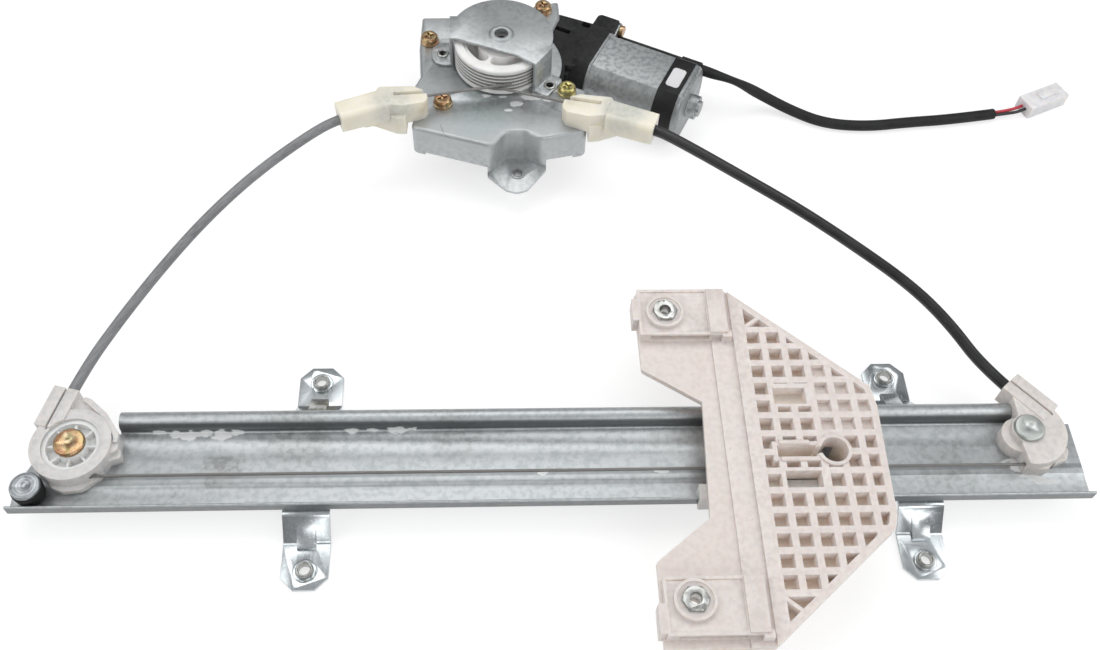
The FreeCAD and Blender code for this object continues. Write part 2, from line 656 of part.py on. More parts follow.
def right_guide_housing():
    x, y = RIGHT_GUIDE_X, RIGHT_GUIDE_Y
    outer = RIGHT_WRAP_RADIUS + CABLE_RADIUS + HOUSING_WALL
    top = FAR_WEB_TOP + RIGHT_GUIDE_HEIGHT
    body = cylinder(outer, FAR_WEB_TOP, top, x, y)
    left = HEM_RIGHT + PIECE_GAP
    keep = [(left, y + 30.0), (left, y + 8.0), (x - 4.5, y - 7.0), (x - 3.5, y - 18.0),
            (x + 30.0, y - 18.0), (x + 30.0, y + 30.0)]
    body = body.common(prism(keep, 0, 40, [0, 0, 1.5, 0, 0, 0]))
    body = body.fuse(cylinder(RIVET_HEAD_RADIUS + 2.0, FAR_WEB_TOP, top - 3.4, x - 2.4, y - 1.2))
    body = body.fuse(cylinder(RIVET_HEAD_RADIUS + 0.6, FAR_WEB_TOP, top, x, y))
    foot = [(x - 3.4, y - 12.0), (x - 3.0, y - 17.2), (x + 6.0, y - 17.9), (x + 12.0, y - 12.0)]
    tab = [(x + 11.0, y - 14.2), (x + 17.0, y - 12.0), (x + 19.4, y - 7.0), (x + 15.0, y - 2.0),
           (x + 10.0, y - 4.0)]
    body = body.fuse(prism(foot, FAR_WEB_TOP, FAR_WEB_TOP + 6.0, [0, 1.0, 3.0, 0]))
    body = body.fuse(prism(tab, FAR_WEB_TOP, FAR_WEB_TOP + 3.6, [0, 1.6, 1.6, 0, 0]))
    socket, opening = conduit_socket(right_exit(0), RIGHT_EXIT_ANGLE, -2.0, RIGHT_SOCKET_LENGTH,
                                     RIGHT_CONDUIT_RADIUS, RIGHT_CABLE_END)
    body = body.fuse(socket)
    body = body.cut(opening).cut(cable_tunnel()).cut(cylinder(RIVET_SHANK_RADIUS, 0, 40, x, y))
    return body.removeSplitter()


def right_guide_rivet():
    seat = FAR_WEB_TOP + RIGHT_GUIDE_HEIGHT
    return shouldered_rivet(RIGHT_GUIDE_X, RIGHT_GUIDE_Y, seat, RIVET_HEAD_RADIUS, RIVET_SHANK_RADIUS,
                            RIVET_HEAD_HEIGHT, RAIL_BASE + STEP_RISE)


def bumper_rubber():
    top = NEAR_WEB_TOP + BUMPER_HEIGHT
    foot = FAR_WEB_TOP + RUNNING_FIT
    profile = [(BUMPER_SHANK_RADIUS, foot), (BUMPER_RADIUS - 1.2, foot), (BUMPER_RADIUS - 0.6, foot + 2),
               (BUMPER_RADIUS, top - 1), (BUMPER_RADIUS - 0.6, top), (BUMPER_SHANK_RADIUS, top)]
    rubber = turned(profile)
    rubber.translate(Vector(BUMPER_X, BUMPER_Y, 0))
    return rubber


def bumper_rivet():
    return shouldered_rivet(BUMPER_X, BUMPER_Y, NEAR_WEB_TOP + BUMPER_HEIGHT, BUMPER_CAP_RADIUS,
                            BUMPER_SHANK_RADIUS, BUMPER_CAP_HEIGHT, RAIL_BASE)


# Lift plate

LIFT_OUTLINE = [(57.5, 73.6), (114.2, 23.0), (115.6, 12.8), (114.1, -39.4), (112.4, -45.0), (55.8, -93.6),
                (12.0, -93.6), (12.0, -57.6), (36.0, -38.2), (38.6, 17.0), (13.0, 34.0), (12.2, 75.0),
                (26.8, 76.3), (54.7, 76.3)]


def lift_outline_solid(bottom, top):
    return prism(LIFT_OUTLINE, bottom, top, 1.4)


def grid_cells():
    # Square moulding pockets on a regular pitch, clipped by the rim and by the features between them
    floor = PLATE_TOP - CELL_DEPTH
    cells = []
    for column in range(CELL_COLUMNS):
        for row in range(CELL_ROWS):
            x = FIRST_CELL_X + column * CELL_PITCH
            y = FIRST_CELL_Y - row * CELL_PITCH
            shallow = column >= 3 and 2 <= row <= 5
            low = PLATE_TOP - SHALLOW_CELL_DEPTH if shallow else floor
            cells.append(block((x, y - CELL_SIZE, low), (x + CELL_SIZE, y, PLATE_TOP + 1)))
    grid_right = FIRST_CELL_X + CELL_COLUMNS * CELL_PITCH
    grid_low = FIRST_CELL_Y - CELL_ROWS * CELL_PITCH
    above = FIRST_CELL_Y + CELL_PITCH - CELL_SIZE
    cells.append(block((FIRST_CELL_X, above, floor), (grid_right, above + 30, PLATE_TOP + 1)))
    cells.append(block((FIRST_CELL_X, grid_low - 30, floor), (grid_right, grid_low, PLATE_TOP + 1)))
    inner = Part.Wire(closed_outline(LIFT_OUTLINE, 1.4, floor - 1).Edges).makeOffset2D(-RIM, 2)
    region = Part.Face(inner).extrude(UP * (CELL_DEPTH + 2))
    return Part.makeCompound(cells).common(region)


def kept_islands():
    # Solid ground round the windows, the nipple pocket and the round hole
    bottom = PLATE_UNDER - 1
    top = PLATE_TOP + 2
    islands = [block((69.0, 13.0, bottom), (86.5, 24.6, top)),
               block((69.0, -28.4, bottom), (87.0, -17.2, top)),
               block((POCKET_LEFT - 2.0, CABLE_Y - 4.6, bottom), (POCKET_RIGHT + 4.0, CABLE_Y + 4.6, top)),
               cylinder(ROUND_HOLE_RADIUS + 1.5, bottom, top, ROUND_HOLE_X, CABLE_Y),
               turned_block((-9, 9), (-0.8, 0.8), (bottom, top), (66.5, 58.5), 35),
               turned_block((-9, 9), (-0.8, 0.8), (bottom, top), (67.4, -79.1), -40)]
    return islands


def lift_plate():
    body = lift_outline_solid(ARM_UNDER, ARM_TOP)
    beyond = block((BLOCK_LEFT, -120, PLATE_UNDER), (140, 120, PLATE_TOP))
    body = body.fuse(lift_outline_solid(PLATE_UNDER, PLATE_TOP).common(beyond))
    step = block((46.0, -120, ARM_UNDER), (BLOCK_LEFT, 120, ARM_TOP + 1.2))
    body = body.fuse(lift_outline_solid(ARM_UNDER, ARM_TOP + 1.2).common(step))
    for y in glass_nut_rows():
        body = body.fuse(nut_pad(y))
    body = body.fuse(nipple_block())
    cells = grid_cells()
    for island in kept_islands():
        cells = cells.cut(island)
    body = body.cut(cells)
    body = body.fuse(cylinder(ROUND_HOLE_RADIUS + 1.5, PLATE_TOP - 1, PLATE_TOP + 0.9, ROUND_HOLE_X, CABLE_Y))
    for side_sign in (-1, 1):
        ridge_y = CABLE_Y + side_sign * (POCKET_WIDTH / 2 + 1.2)
        ridge = Part.makeCylinder(1.2, POCKET_RIGHT - POCKET_LEFT - 4.0,
                                  Vector(POCKET_LEFT + 1.0, ridge_y, PLATE_TOP), Vector(1, 0, 0))
        body = body.fuse(ridge)
    body = body.cut(block((70.0, 14.2, PLATE_UNDER + 1.5), (84.5, 22.4, 50)))
    body = body.cut(block((70.0, -26.3, 0), (85.5, -18.5, 50)))
    body = body.cut(cylinder(ROUND_HOLE_RADIUS, 0, 50, ROUND_HOLE_X, CABLE_Y))
    body = body.cut(block((POCKET_LEFT, CABLE_Y - POCKET_WIDTH / 2, CABLE_Z - NIPPLE_RADIUS),
                          (POCKET_RIGHT, CABLE_Y + POCKET_WIDTH / 2, 50)))
    body = body.cut(block((POCKET_RIGHT - 1, CABLE_Y - 1.6, CABLE_Z - 1.6),
                          (ROUND_HOLE_X, CABLE_Y + 1.6, 50)))
    body = body.cut(block((ROUND_HOLE_X, CABLE_Y - 1.2, 0), (SHOE_RIGHT, CABLE_Y + 1.2, CABLE_Z + 1.2)))
    body = body.cut(block((40, CABLE_Y - 1.2, 0), (POCKET_LEFT + 1, CABLE_Y + 1.2, CABLE_Z + 1.2)))
    for y in glass_nut_rows():
        body = body.cut(hexagon(GLASS_NUT_FLATS, NUT_BOSS_TOP - 5.0, 60, GLASS_NUT_X, y))
        body = body.cut(cylinder(M6_BORE_RADIUS + 0.6, 0, 60, GLASS_NUT_X, y))
    return body.removeSplitter()


def glass_nut_rows():
    half = GLASS_NUT_SPACING / 2
    return (GLASS_NUT_MIDDLE_Y + half, GLASS_NUT_MIDDLE_Y - half)


def nut_pad(y):
    # The raised pad that the glass channel bears on: a nut boss, an end strip, edge rails and an edge tab
    sign = 1 if y > 0 else -1
    low, high = (49.0, 74.0) if sign > 0 else (-90.0, -66.0)
    pad = block((13.0, low, ARM_UNDER), (53.5, high, PAD_TOP))
    pad = pad.cut(block((18.0, low - 1, ARM_TOP + 1.2), (50.5, low + 2.4, PAD_TOP - 1.4)))
    pad = pad.cut(block((14.2, low + 1.3, PAD_TOP - 0.7), (44.4, high - 1.3, PAD_TOP + 1)))
    strip = block((45.0, low + 0.6, ARM_UNDER), (53.0, high - 0.6, PAD_TOP + 1.2))
    pad = pad.fuse(strip).fuse(block((50.5, low - 1.4, ARM_UNDER), (54.8, low + 2.0, PAD_TOP)))
    tab_low, tab_high = (57.0, 68.7) if sign > 0 else (-89.0, -77.0)
    pad = pad.fuse(block((10.2, tab_low, ARM_UNDER), (13.5, tab_high, PAD_TOP)))
    boss = cylinder(NUT_BOSS_RADIUS, ARM_UNDER, NUT_BOSS_TOP, GLASS_NUT_X, y)
    moat = cylinder(NUT_BOSS_RADIUS - 1.2, NUT_BOSS_TOP - 0.6, NUT_BOSS_TOP + 1, GLASS_NUT_X, y)
    return pad.fuse(boss.cut(moat))


def nipple_block():
    # Hangs from the plate and takes the pull of both cable ends
    return block((POCKET_LEFT - 4.0, CABLE_Y - 5.5, CABLE_Z - NIPPLE_RADIUS - 1.4),
                 (ROUND_HOLE_X + ROUND_HOLE_RADIUS + 2.0, CABLE_Y + 5.5, PLATE_UNDER + 0.5))


def lift_nuts():
    nuts = []
    for y in glass_nut_rows():
        bottom = NUT_BOSS_TOP - 5.0
        nut = hexagon(GLASS_NUT_FLATS, bottom, bottom + GLASS_NUT_HEIGHT, GLASS_NUT_X, y)
        nut = nut.common(nut_chamfer(GLASS_NUT_FLATS, bottom, bottom + GLASS_NUT_HEIGHT, GLASS_NUT_X, y))
        nuts.append(nut.cut(cylinder(M6_BORE_RADIUS, 0, 60, GLASS_NUT_X, y)))
    return Part.makeCompound(nuts)


def cable_nipples():
    # Swaged ends of the two cables, one against each end of the pocket
    nipples = []
    for start in (POCKET_LEFT + PIECE_GAP, POCKET_RIGHT - PIECE_GAP - NIPPLE_LENGTH):
        end = start + NIPPLE_LENGTH
        body = along_shaft(NIPPLE_RADIUS - PIECE_GAP, start, end, CABLE_Y, CABLE_Z)
        bore = along_shaft(CABLE_RADIUS + RUNNING_FIT, start - 1, end + 1, CABLE_Y, CABLE_Z)
        nipples.append(body.cut(bore))
    return Part.makeCompound(nipples)


def upper_shoe():
    # An inverted channel that rides over the rolled hem
    outer_radius = HEM_RADIUS + RAIL_SHEET / 2 + SLIDE_GAP
    near = HEM_CREST_Y - outer_radius
    far = HEM_CREST_Y + outer_radius
    bottom = FAR_WEB_TOP + SLIDE_GAP
    shoe = block((UPPER_SHOE_LEFT, near - SHOE_WALL, bottom), (SHOE_RIGHT, far + SHOE_WALL, PLATE_UNDER))
    shoe = shoe.cut(block((UPPER_SHOE_LEFT - 1, near, 0), (SHOE_RIGHT + 1, far, HEM_WALL_TOP)))
    crest = Part.makeCylinder(outer_radius, SHOE_RIGHT - UPPER_SHOE_LEFT + 2,
                              Vector(UPPER_SHOE_LEFT - 1, HEM_CREST_Y, HEM_WALL_TOP), Vector(1, 0, 0))
    return shoe.cut(crest).removeSplitter()


def lower_shoe():
    # A slotted runner that grips the upright lip
    near = LIP_OUTER_Y - SLIDE_GAP
    far = LIP_OUTER_Y + RAIL_SHEET + SLIDE_GAP
    bottom = NEAR_WEB_TOP + SLIDE_GAP
    shoe = block((SHOE_LEFT, near - SHOE_WALL, bottom), (SHOE_RIGHT, far + SHOE_WALL + 1.0, PLATE_UNDER))
    shoe = shoe.cut(block((SHOE_LEFT - 1, near, 0), (SHOE_RIGHT + 1, far, LIP_TOP + SLIDE_GAP)))
    shoe = shoe.cut(block((SHOE_LEFT - 1, near - 10, PLATE_UNDER - 3.0),
                          (SHOE_LEFT + 6.0, far + 10, PLATE_UNDER + 1)))
    return shoe.removeSplitter()


# Motor plate, cable guides, drum and cover

# Corners of the motor plate, each with its own rounding
PLATE_OUTLINE = [(-92.0, 262.0, 1.2), (-72.0, 262.5, 1.2), (-58.0, 254.0, 1.2), (-36.0, 254.0, 1.2),
                 (-30.0, 272.5, 1.2), (-16.0, 276.0, 1.2), (-15.6, 262.0, 1.2), (-22.0, 246.0, 1.2),
                 (-22.0, 214.8, 1.2), (-3.5, 206.0, 2.0), (-2.8, 199.0, 2.0), (-5.0, 190.0, 2.0),
                 (-4.6, 176.0, 4.0), (-29.0, 170.6, 7.0), (-36.0, 175.8, 6.0), (-46.8, 175.6, 5.0),
                 (-54.0, 165.6, 5.0), (-95.6, 178.6, 4.0), (-93.0, 190.0, 2.0), (-96.4, 204.0, 2.0),
                 (-91.6, 216.0, 2.0), (-92.8, 237.0, 1.2)]
TAB_OUTLINE = [(-56.2, 171.6, 1.0), (-56.2, 164.2, 2.5), (-46.6, 154.6, 4.0), (-40.9, 152.8, 5.0),
               (-35.7, 154.6, 4.0), (-25.4, 168.8, 2.5), (-25.4, 172.6, 0.5), (-36.0, 177.0, 1.0),
               (-46.8, 176.8, 1.0)]
SCREW_PLACES = [(-87.3, 242.6), (-24.9, 268.1), (-79.2, 195.8), (-14.0, 204.5)]
TAB_HOLE = (-40.4, 165.6)


def plate_blank(bottom, top, inset=0.0):
    pairs = [(x, y) for x, y, radius in PLATE_OUTLINE]
    outline = closed_outline(pairs, [radius for x, y, radius in PLATE_OUTLINE], bottom)
    if inset:
        outline = outline.makeOffset2D(-inset)
    return Part.Face(outline).extrude(UP * (top - bottom))


def pressed_plate():
    # The flat top with its front edge turned down over a rounded bend, and a tooth at each end of it
    tooth = FLANGE_BOTTOM - FLANGE_TOOTH
    blank = plate_blank(tooth, MOTOR_PLATE_TOP)
    front = [edge for edge in blank.Edges
             if edge.BoundBox.ZMin > MOTOR_PLATE_TOP - 0.01 and edge.BoundBox.YMax < FLANGE_BACK + 4.0]
    blank = blank.makeFillet(FLANGE_BEND, front)
    blank = blank.cut(plate_blank(tooth - 1, MOTOR_PLATE_UNDER, MOTOR_PLATE_SHEET))
    behind = block((-120, FLANGE_BACK, 0), (20, 300, MOTOR_PLATE_UNDER))
    ends = [x for x, y, radius in PLATE_OUTLINE if y < FLANGE_BACK]
    left_end = min(ends) + TOOTH_WIDTH
    right_end = max(ends) - TOOTH_WIDTH
    between = block((left_end, 140, 0), (right_end, 200, FLANGE_BOTTOM))
    return blank.cut(behind).cut(between)


def tab_recess():
    # The hollow in the flange goes on down to the mounting tab
    bottom = TAB_TOP - MOTOR_PLATE_SHEET
    wall = plate_blank(bottom, FLANGE_BOTTOM + 1).cut(plate_blank(bottom - 1, 30, MOTOR_PLATE_SHEET))
    pairs = [(x, y) for x, y, radius in TAB_OUTLINE]
    wall = wall.common(block((min(pairs)[0], 150, 0), (max(pairs)[0], 180, 30)))
    tab = prism(pairs, bottom, TAB_TOP, [radius for x, y, radius in TAB_OUTLINE])
    return wall.fuse(tab)


def base_plate():
    sheet = pressed_plate().fuse(tab_recess())
    sheet = sheet.fuse(cylinder(PLATE_DISC_RADIUS, MOTOR_PLATE_UNDER, MOTOR_PLATE_TOP, DRUM_X, DRUM_Y))
    sheet = sheet.fuse(cylinder(TAB_BORE + 1.3, TAB_TOP - 5.0, TAB_TOP + 0.6, *TAB_HOLE))
    sheet = sheet.cut(cylinder(TAB_BORE, 0, 30, *TAB_HOLE))
    sheet = sheet.cut(cylinder(DRUM_HOLE_RADIUS, 30, 40, DRUM_X, DRUM_Y))
    for x, y in SCREW_PLACES:
        sheet = sheet.cut(cylinder(PLATE_SCREW_SHANK, 30, 40, x, y))
    for x, y in cover_foot_holes():
        sheet = sheet.cut(cylinder(EYELET_NECK, 30, 40, x, y))
    return sheet.removeSplitter()


def plate_screws():
    screws = []
    for x, y in SCREW_PLACES:
        seat = MOTOR_PLATE_TOP
        tip = seat - PLATE_SCREW_LENGTH
        top = seat + PLATE_SCREW_HEAD
        rim = PLATE_SCREW_HEAD_RADIUS
        profile = [(0, tip), (PLATE_SCREW_SHANK, tip), (PLATE_SCREW_SHANK, seat), (rim, seat),
                   (rim, seat + 1.0), (rim - 0.5, seat + 1.0), (rim - 0.5, top - 0.8), (rim - 1.2, top),
                   (0, top)]
        screw = turned(profile)
        for turn in (0, 90):
            slot = block((-2.6, -0.55, top - 1.6), (2.6, 0.55, top + 1))
            slot.rotate(Vector(0, 0, 0), UP, turn + 20)
            screw = screw.cut(slot)
        screw.translate(Vector(x, y, 0))
        screws.append(screw)
    return Part.makeCompound(screws)


def right_leg_frame():
    out = direction(RIGHT_LEG_ANGLE)
    return Vector(DRUM_X, DRUM_Y, 0) + out * COVER_RADIUS


def cover_foot_holes():
    right = right_leg_frame() + direction(RIGHT_LEG_ANGLE) * FOOT_HOLE
    return [(DRUM_X - COVER_RADIUS - FOOT_HOLE, DRUM_Y + LEFT_LEG_SHIFT), (right.x, right.y)]


def cover_leg(origin, angle, width, foot_length, foot_radius):
    # One bent leg of the cover: an ear off the top, an upright and a foot with rounded toes
    half = width / 2
    top_low = COVER_TOP - COVER_SHEET
    seat = MOTOR_PLATE_TOP
    ear = turned_block((-14, 0), (-half, half), (top_low, COVER_TOP), origin, angle)
    upright = turned_block((-COVER_SHEET, 0), (-half, half), (seat, COVER_TOP), origin, angle)
    toes = [(-COVER_SHEET, half), (-COVER_SHEET, -half), (foot_length, -half), (foot_length, half)]
    foot = prism(toes, seat, seat + COVER_SHEET, [0, 0, foot_radius, foot_radius])
    foot.rotate(Vector(0, 0, 0), UP, angle)
    foot.translate(Vector(origin[0], origin[1], 0))
    return ear.fuse(upright).fuse(foot)


def drum_cover():
    top_low = COVER_TOP - COVER_SHEET
    cap = cylinder(COVER_RADIUS, top_low, COVER_TOP, DRUM_X, DRUM_Y)
    cap = cap.cut(turned_block((COVER_CUT_DISTANCE, 60), (-60, 60), (top_low - 1, COVER_TOP + 1),
                               (DRUM_X, DRUM_Y), COVER_CUT_ANGLE))
    right = right_leg_frame()
    cover = cap.fuse(cover_leg((right.x, right.y), RIGHT_LEG_ANGLE, LEG_WIDTH, RIGHT_FOOT_LENGTH, 2.0))
    left = (DRUM_X - COVER_RADIUS, DRUM_Y + LEFT_LEG_SHIFT)
    cover = cover.fuse(cover_leg(left, 180, LEFT_LEG_WIDTH, LEFT_FOOT_LENGTH, 7.0))
    dimple = turned([(COVER_HOLE_RADIUS, top_low), (COVER_DIMPLE_RADIUS, top_low),
                     (COVER_DIMPLE_RADIUS, COVER_TOP), (COVER_DIMPLE_RADIUS - 1.4, COVER_TOP + 1.0),
                     (COVER_HOLE_RADIUS, COVER_TOP + 1.0)])
    dimple.translate(Vector(DRUM_X, DRUM_Y, 0))
    cover = cover.fuse(dimple).cut(cylinder(COVER_HOLE_RADIUS, 50, 60, DRUM_X, DRUM_Y))
    for x, y in cover_foot_holes():
        cover = cover.cut(cylinder(EYELET_NECK, 30, 45, x, y))
    return cover.removeSplitter()


def cover_eyelets():
    # Rolled tubular rivets that hold the cover's feet down
    eyelets = []
    roll = EYELET_NECK + 0.8
    low = MOTOR_PLATE_UNDER - 0.8
    top = MOTOR_PLATE_TOP + COVER_SHEET
    profile = [(EYELET_BORE, low), (roll, low), (roll, MOTOR_PLATE_UNDER), (EYELET_NECK, MOTOR_PLATE_UNDER),
               (EYELET_NECK, top), (EYELET_RADIUS, top), (EYELET_RADIUS - 0.3, top + 0.7),
               (EYELET_BORE, top + 0.7)]
    for x, y in cover_foot_holes():
        eyelet = turned(profile)
        eyelet.translate(Vector(x, y, 0))
        eyelets.append(eyelet)
    return Part.makeCompound(eyelets)


def drum():
    boss = AXLE_RADIUS + RUNNING_FIT
    profile = [(boss, DRUM_BOTTOM), (DRUM_FLANGE_RADIUS, DRUM_BOTTOM)]
    seat = DRUM_CABLE_RADIUS - CABLE_RADIUS - RUNNING_FIT
    for i in range(DRUM_GROOVES):
        z = FIRST_GROOVE_Z + i * DRUM_GROOVE_PITCH
        profile += [(DRUM_FLANGE_RADIUS, z - 1.0), (seat, z - 0.8), (seat, z + 0.8),
                    (DRUM_FLANGE_RADIUS, z + 1.0)]
    profile += [(DRUM_FLANGE_RADIUS, DRUM_TOP - 0.6), (DRUM_FLANGE_RADIUS - 0.6, DRUM_TOP),
                (WINDOW_OUTER + 2.0, DRUM_TOP), (WINDOW_OUTER + 1.2, DRUM_TOP - 1.0),
                (boss + 3.0, DRUM_TOP - 1.0), (boss, DRUM_TOP - 1.0)]
    body = turned(profile)
    for i in range(DRUM_WINDOWS):
        body = body.cut(kidney(20 + i * 360 / DRUM_WINDOWS))
    body.translate(Vector(DRUM_X, DRUM_Y, 0))
    return body


def kidney(turn):
    # A slot along an arc, with round ends
    middle = (WINDOW_INNER + WINDOW_OUTER) / 2
    floor = DRUM_BOTTOM + 5.0
    tip = math.degrees((WINDOW_OUTER - WINDOW_INNER) / 2 / middle)
    low = turn - WINDOW_HALF_ANGLE
    high = turn + WINDOW_HALF_ANGLE
    corners = [direction(low) * WINDOW_OUTER, direction(high) * WINDOW_OUTER, direction(high) * WINDOW_INNER,
               direction(low) * WINDOW_INNER]
    bulges = [direction(turn) * WINDOW_OUTER, direction(high + tip) * middle, direction(turn) * WINDOW_INNER,
              direction(low - tip) * middle]
    edges = [Part.Arc(start, bulge, end).toShape()
             for start, bulge, end in zip(corners, bulges, corners[1:] + corners[:1])]
    slot = Part.Face(Part.Wire(edges)).extrude(UP * (DRUM_TOP + 1 - floor))
    slot.translate(UP * floor)
    return slot


def drum_cable_wraps():
    rings = []
    for i in range(DRUM_GROOVES):
        centre = Vector(DRUM_X, DRUM_Y, FIRST_GROOVE_Z + i * DRUM_GROOVE_PITCH)
        rings.append(Part.makeTorus(DRUM_CABLE_RADIUS, CABLE_RADIUS - RUNNING_FIT, centre, UP))
    return Part.makeCompound(rings)


def drum_axle():
    profile = [(0, GEARBOX_FLOOR), (AXLE_RADIUS, GEARBOX_FLOOR), (AXLE_RADIUS, AXLE_TOP - 0.8),
               (AXLE_RADIUS - 0.8, AXLE_TOP), (0, AXLE_TOP)]
    axle = turned(profile)
    axle.translate(Vector(DRUM_X, DRUM_Y, 0))
    return axle


DRUM_RUN_RADIUS = DRUM_CABLE_RADIUS + 2 * CABLE_RADIUS + RUNNING_FIT
LEFT_GUIDE_ENTRY = Vector(-97.2, 190.1, 44.9)
RIGHT_GUIDE_ENTRY = Vector(-4.0, 186.2, 43.1)
GUIDE_HEADING = 21.0
GUIDE_TUBE_DROP = 0.2
GUIDE_FALL = 2.8


def drum_tangent(entry, side):
    # Where the straight cable from a guide touches the cable already wound on the drum
    centre = Vector(DRUM_X, DRUM_Y, entry.z)
    reach = entry - centre
    offset = math.degrees(math.acos(DRUM_RUN_RADIUS / reach.Length))
    heading = math.degrees(math.atan2(reach.y, reach.x)) + side * offset
    return centre + direction(heading) * DRUM_RUN_RADIUS


def drum_run(entry, side):
    return tube([Part.LineSegment(drum_tangent(entry, side), entry).toShape()], CABLE_RADIUS)


def section_ring(centre, heading, width, height, radius):
    # A rounded rectangle standing across a heading, as one closed wire
    across = direction(heading + 90) * (width / 2)
    rise = UP * (height / 2)
    corners = [centre - across - rise, centre + across - rise, centre + across + rise, centre - across + rise]
    middle = (corners[0] + corners[1]) * 0.5
    loop = [middle, corners[1], corners[2], corners[3], corners[0], middle]
    return Part.Wire(rounded_path(loop, [radius] * 4))


# Outlines of the two cable guides, measured from the point where the cable enters each
LEFT_GUIDE_TUBE = [(-33.6, -13.1, 12.6, 12.6), (-10.8, -4.3, 13.6, 12.8)]
LEFT_GUIDE_HEAD = [(-15.8, -9.1), (-1.3, -8.9), (9.2, -5.5), (11.0, -2.1), (9.6, 2.5), (3.2, 5.1),
                   (-14.8, 2.7)]
LEFT_GUIDE_SKIRT = [(-23.4, -7.5), (-17.7, -5.9), (-5.4, -11.3), (-0.4, -11.5), (0.2, 0.4), (-20.8, -3.1)]
RIGHT_GUIDE_TUBE = [(33.2, -15.4, 13.0, 13.2), (10.0, -6.5, 14.0, 13.4)]
RIGHT_GUIDE_HEAD = [(14.0, -10.2), (-0.6, -10.6), (-11.8, -6.2), (-13.8, -2.2), (-12.0, 3.4), (-4.0, 5.2),
                    (12.0, 1.4)]
RIGHT_GUIDE_SKIRT = [(-0.2, -11.8), (5.7, -11.1), (16.5, -7.0), (22.4, -8.4), (21.5, -4.7), (12.0, -2.2),
                     (0.2, 0.8)]


def shifted(pairs, origin):
    return [(origin.x + x, origin.y + y) for x, y in pairs]


def guide_blank(entry, tube_ends, head, skirt, skirt_bottom, side):
    # A square tube, a head that lies on the motor plate and falls towards its nose, and a hooked skirt
    axis_z = entry.z - GUIDE_TUBE_DROP
    rings = [section_ring(Vector(entry.x + x, entry.y + y, axis_z), side * GUIDE_HEADING, wide, high, 3.0)
             for x, y, wide, high in tube_ends]
    tube_part = Part.makeLoft(rings, True, True)
    crest = axis_z + tube_ends[1][3] / 2 - 0.6
    top = prism(shifted(head, entry), MOTOR_PLATE_TOP, crest, 2.4)
    slope = [(entry.x - side * 14.0, crest), (entry.x + side * 14.0, crest - GUIDE_FALL),
             (entry.x + side * 14.0, crest + 5), (entry.x - side * 14.0, crest + 5)]
    wedge = Part.Face(Part.makePolygon([Vector(x, entry.y - 30, z) for x, z in slope + slope[:1]]))
    top = top.cut(wedge.extrude(Vector(0, 60, 0)))
    return tube_part.fuse(top).fuse(prism(shifted(skirt, entry), skirt_bottom, axis_z - 2.0, 0.8))


def finish_guide(body, entry, side, conduit, cable):
    # Clears the sheet, the conduit, the screws and the cable, which leaves through a slot open on top
    body = body.cut(plate_blank(0, MOTOR_PLATE_TOP)).cut(conduit).cut(cable)
    tangent = drum_tangent(entry, side)
    heading = math.degrees(math.atan2(tangent.y - entry.y, tangent.x - entry.x))
    low = entry.z - CABLE_RADIUS - CABLE_ROOM
    body = body.cut(turned_block((-6.5, 20), (-1.2, 1.2), (low, low + 12), (entry.x, entry.y), heading))
    for x, y in SCREW_PLACES:
        body = body.cut(cylinder(PLATE_SCREW_HEAD_RADIUS + PIECE_GAP, MOTOR_PLATE_TOP - 1, 60, x, y))
    return max(body.Solids, key=lambda solid: solid.Volume)


def left_cable_guide():
    body = guide_blank(LEFT_GUIDE_ENTRY, LEFT_GUIDE_TUBE, LEFT_GUIDE_HEAD, LEFT_GUIDE_SKIRT, 31.0, 1)
    conduit = cord_tube(left_conduit_points(), LEFT_CONDUIT_RADIUS)
    return finish_guide(body, LEFT_GUIDE_ENTRY, 1, conduit, left_drum_cable())


def right_cable_guide():
    body = guide_blank(RIGHT_GUIDE_ENTRY, RIGHT_GUIDE_TUBE, RIGHT_GUIDE_HEAD, RIGHT_GUIDE_SKIRT, 29.5, -1)
    conduit = cord_tube(right_conduit_points(), RIGHT_CONDUIT_RADIUS)
    return finish_guide(body, RIGHT_GUIDE_ENTRY, -1, conduit, right_drum_cable())


def left_drum_cable():
    return drum_run(LEFT_GUIDE_ENTRY, 1)


def right_drum_cable():
    return drum_run(RIGHT_GUIDE_ENTRY, -1)


# Gear pair

def wheel_profile(turn):
    # Straight flanked teeth, each with a flat tip and a flat root
    tip = WHEEL_PITCH_RADIUS + MODULE * 0.9
    root = WHEEL_PITCH_RADIUS - MODULE * 1.25
    tooth = math.pi * MODULE / 2 - TOOTH_BACKLASH / 2
    slope = math.tan(math.radians(20))
    tip_half = (tooth / 2 - (tip - WHEEL_PITCH_RADIUS) * slope) / tip
    root_half = (tooth / 2 + (WHEEL_PITCH_RADIUS - root) * slope) / root
    points = []
    for i in range(WHEEL_TEETH):
        middle = math.radians(turn) + (i + 0.5) * 2 * math.pi / WHEEL_TEETH
        for radius, offset in ((root, -root_half), (tip, -tip_half), (tip, tip_half), (root, root_half)):
            points.append((radius * math.cos(middle + offset), radius * math.sin(middle + offset)))
    return points


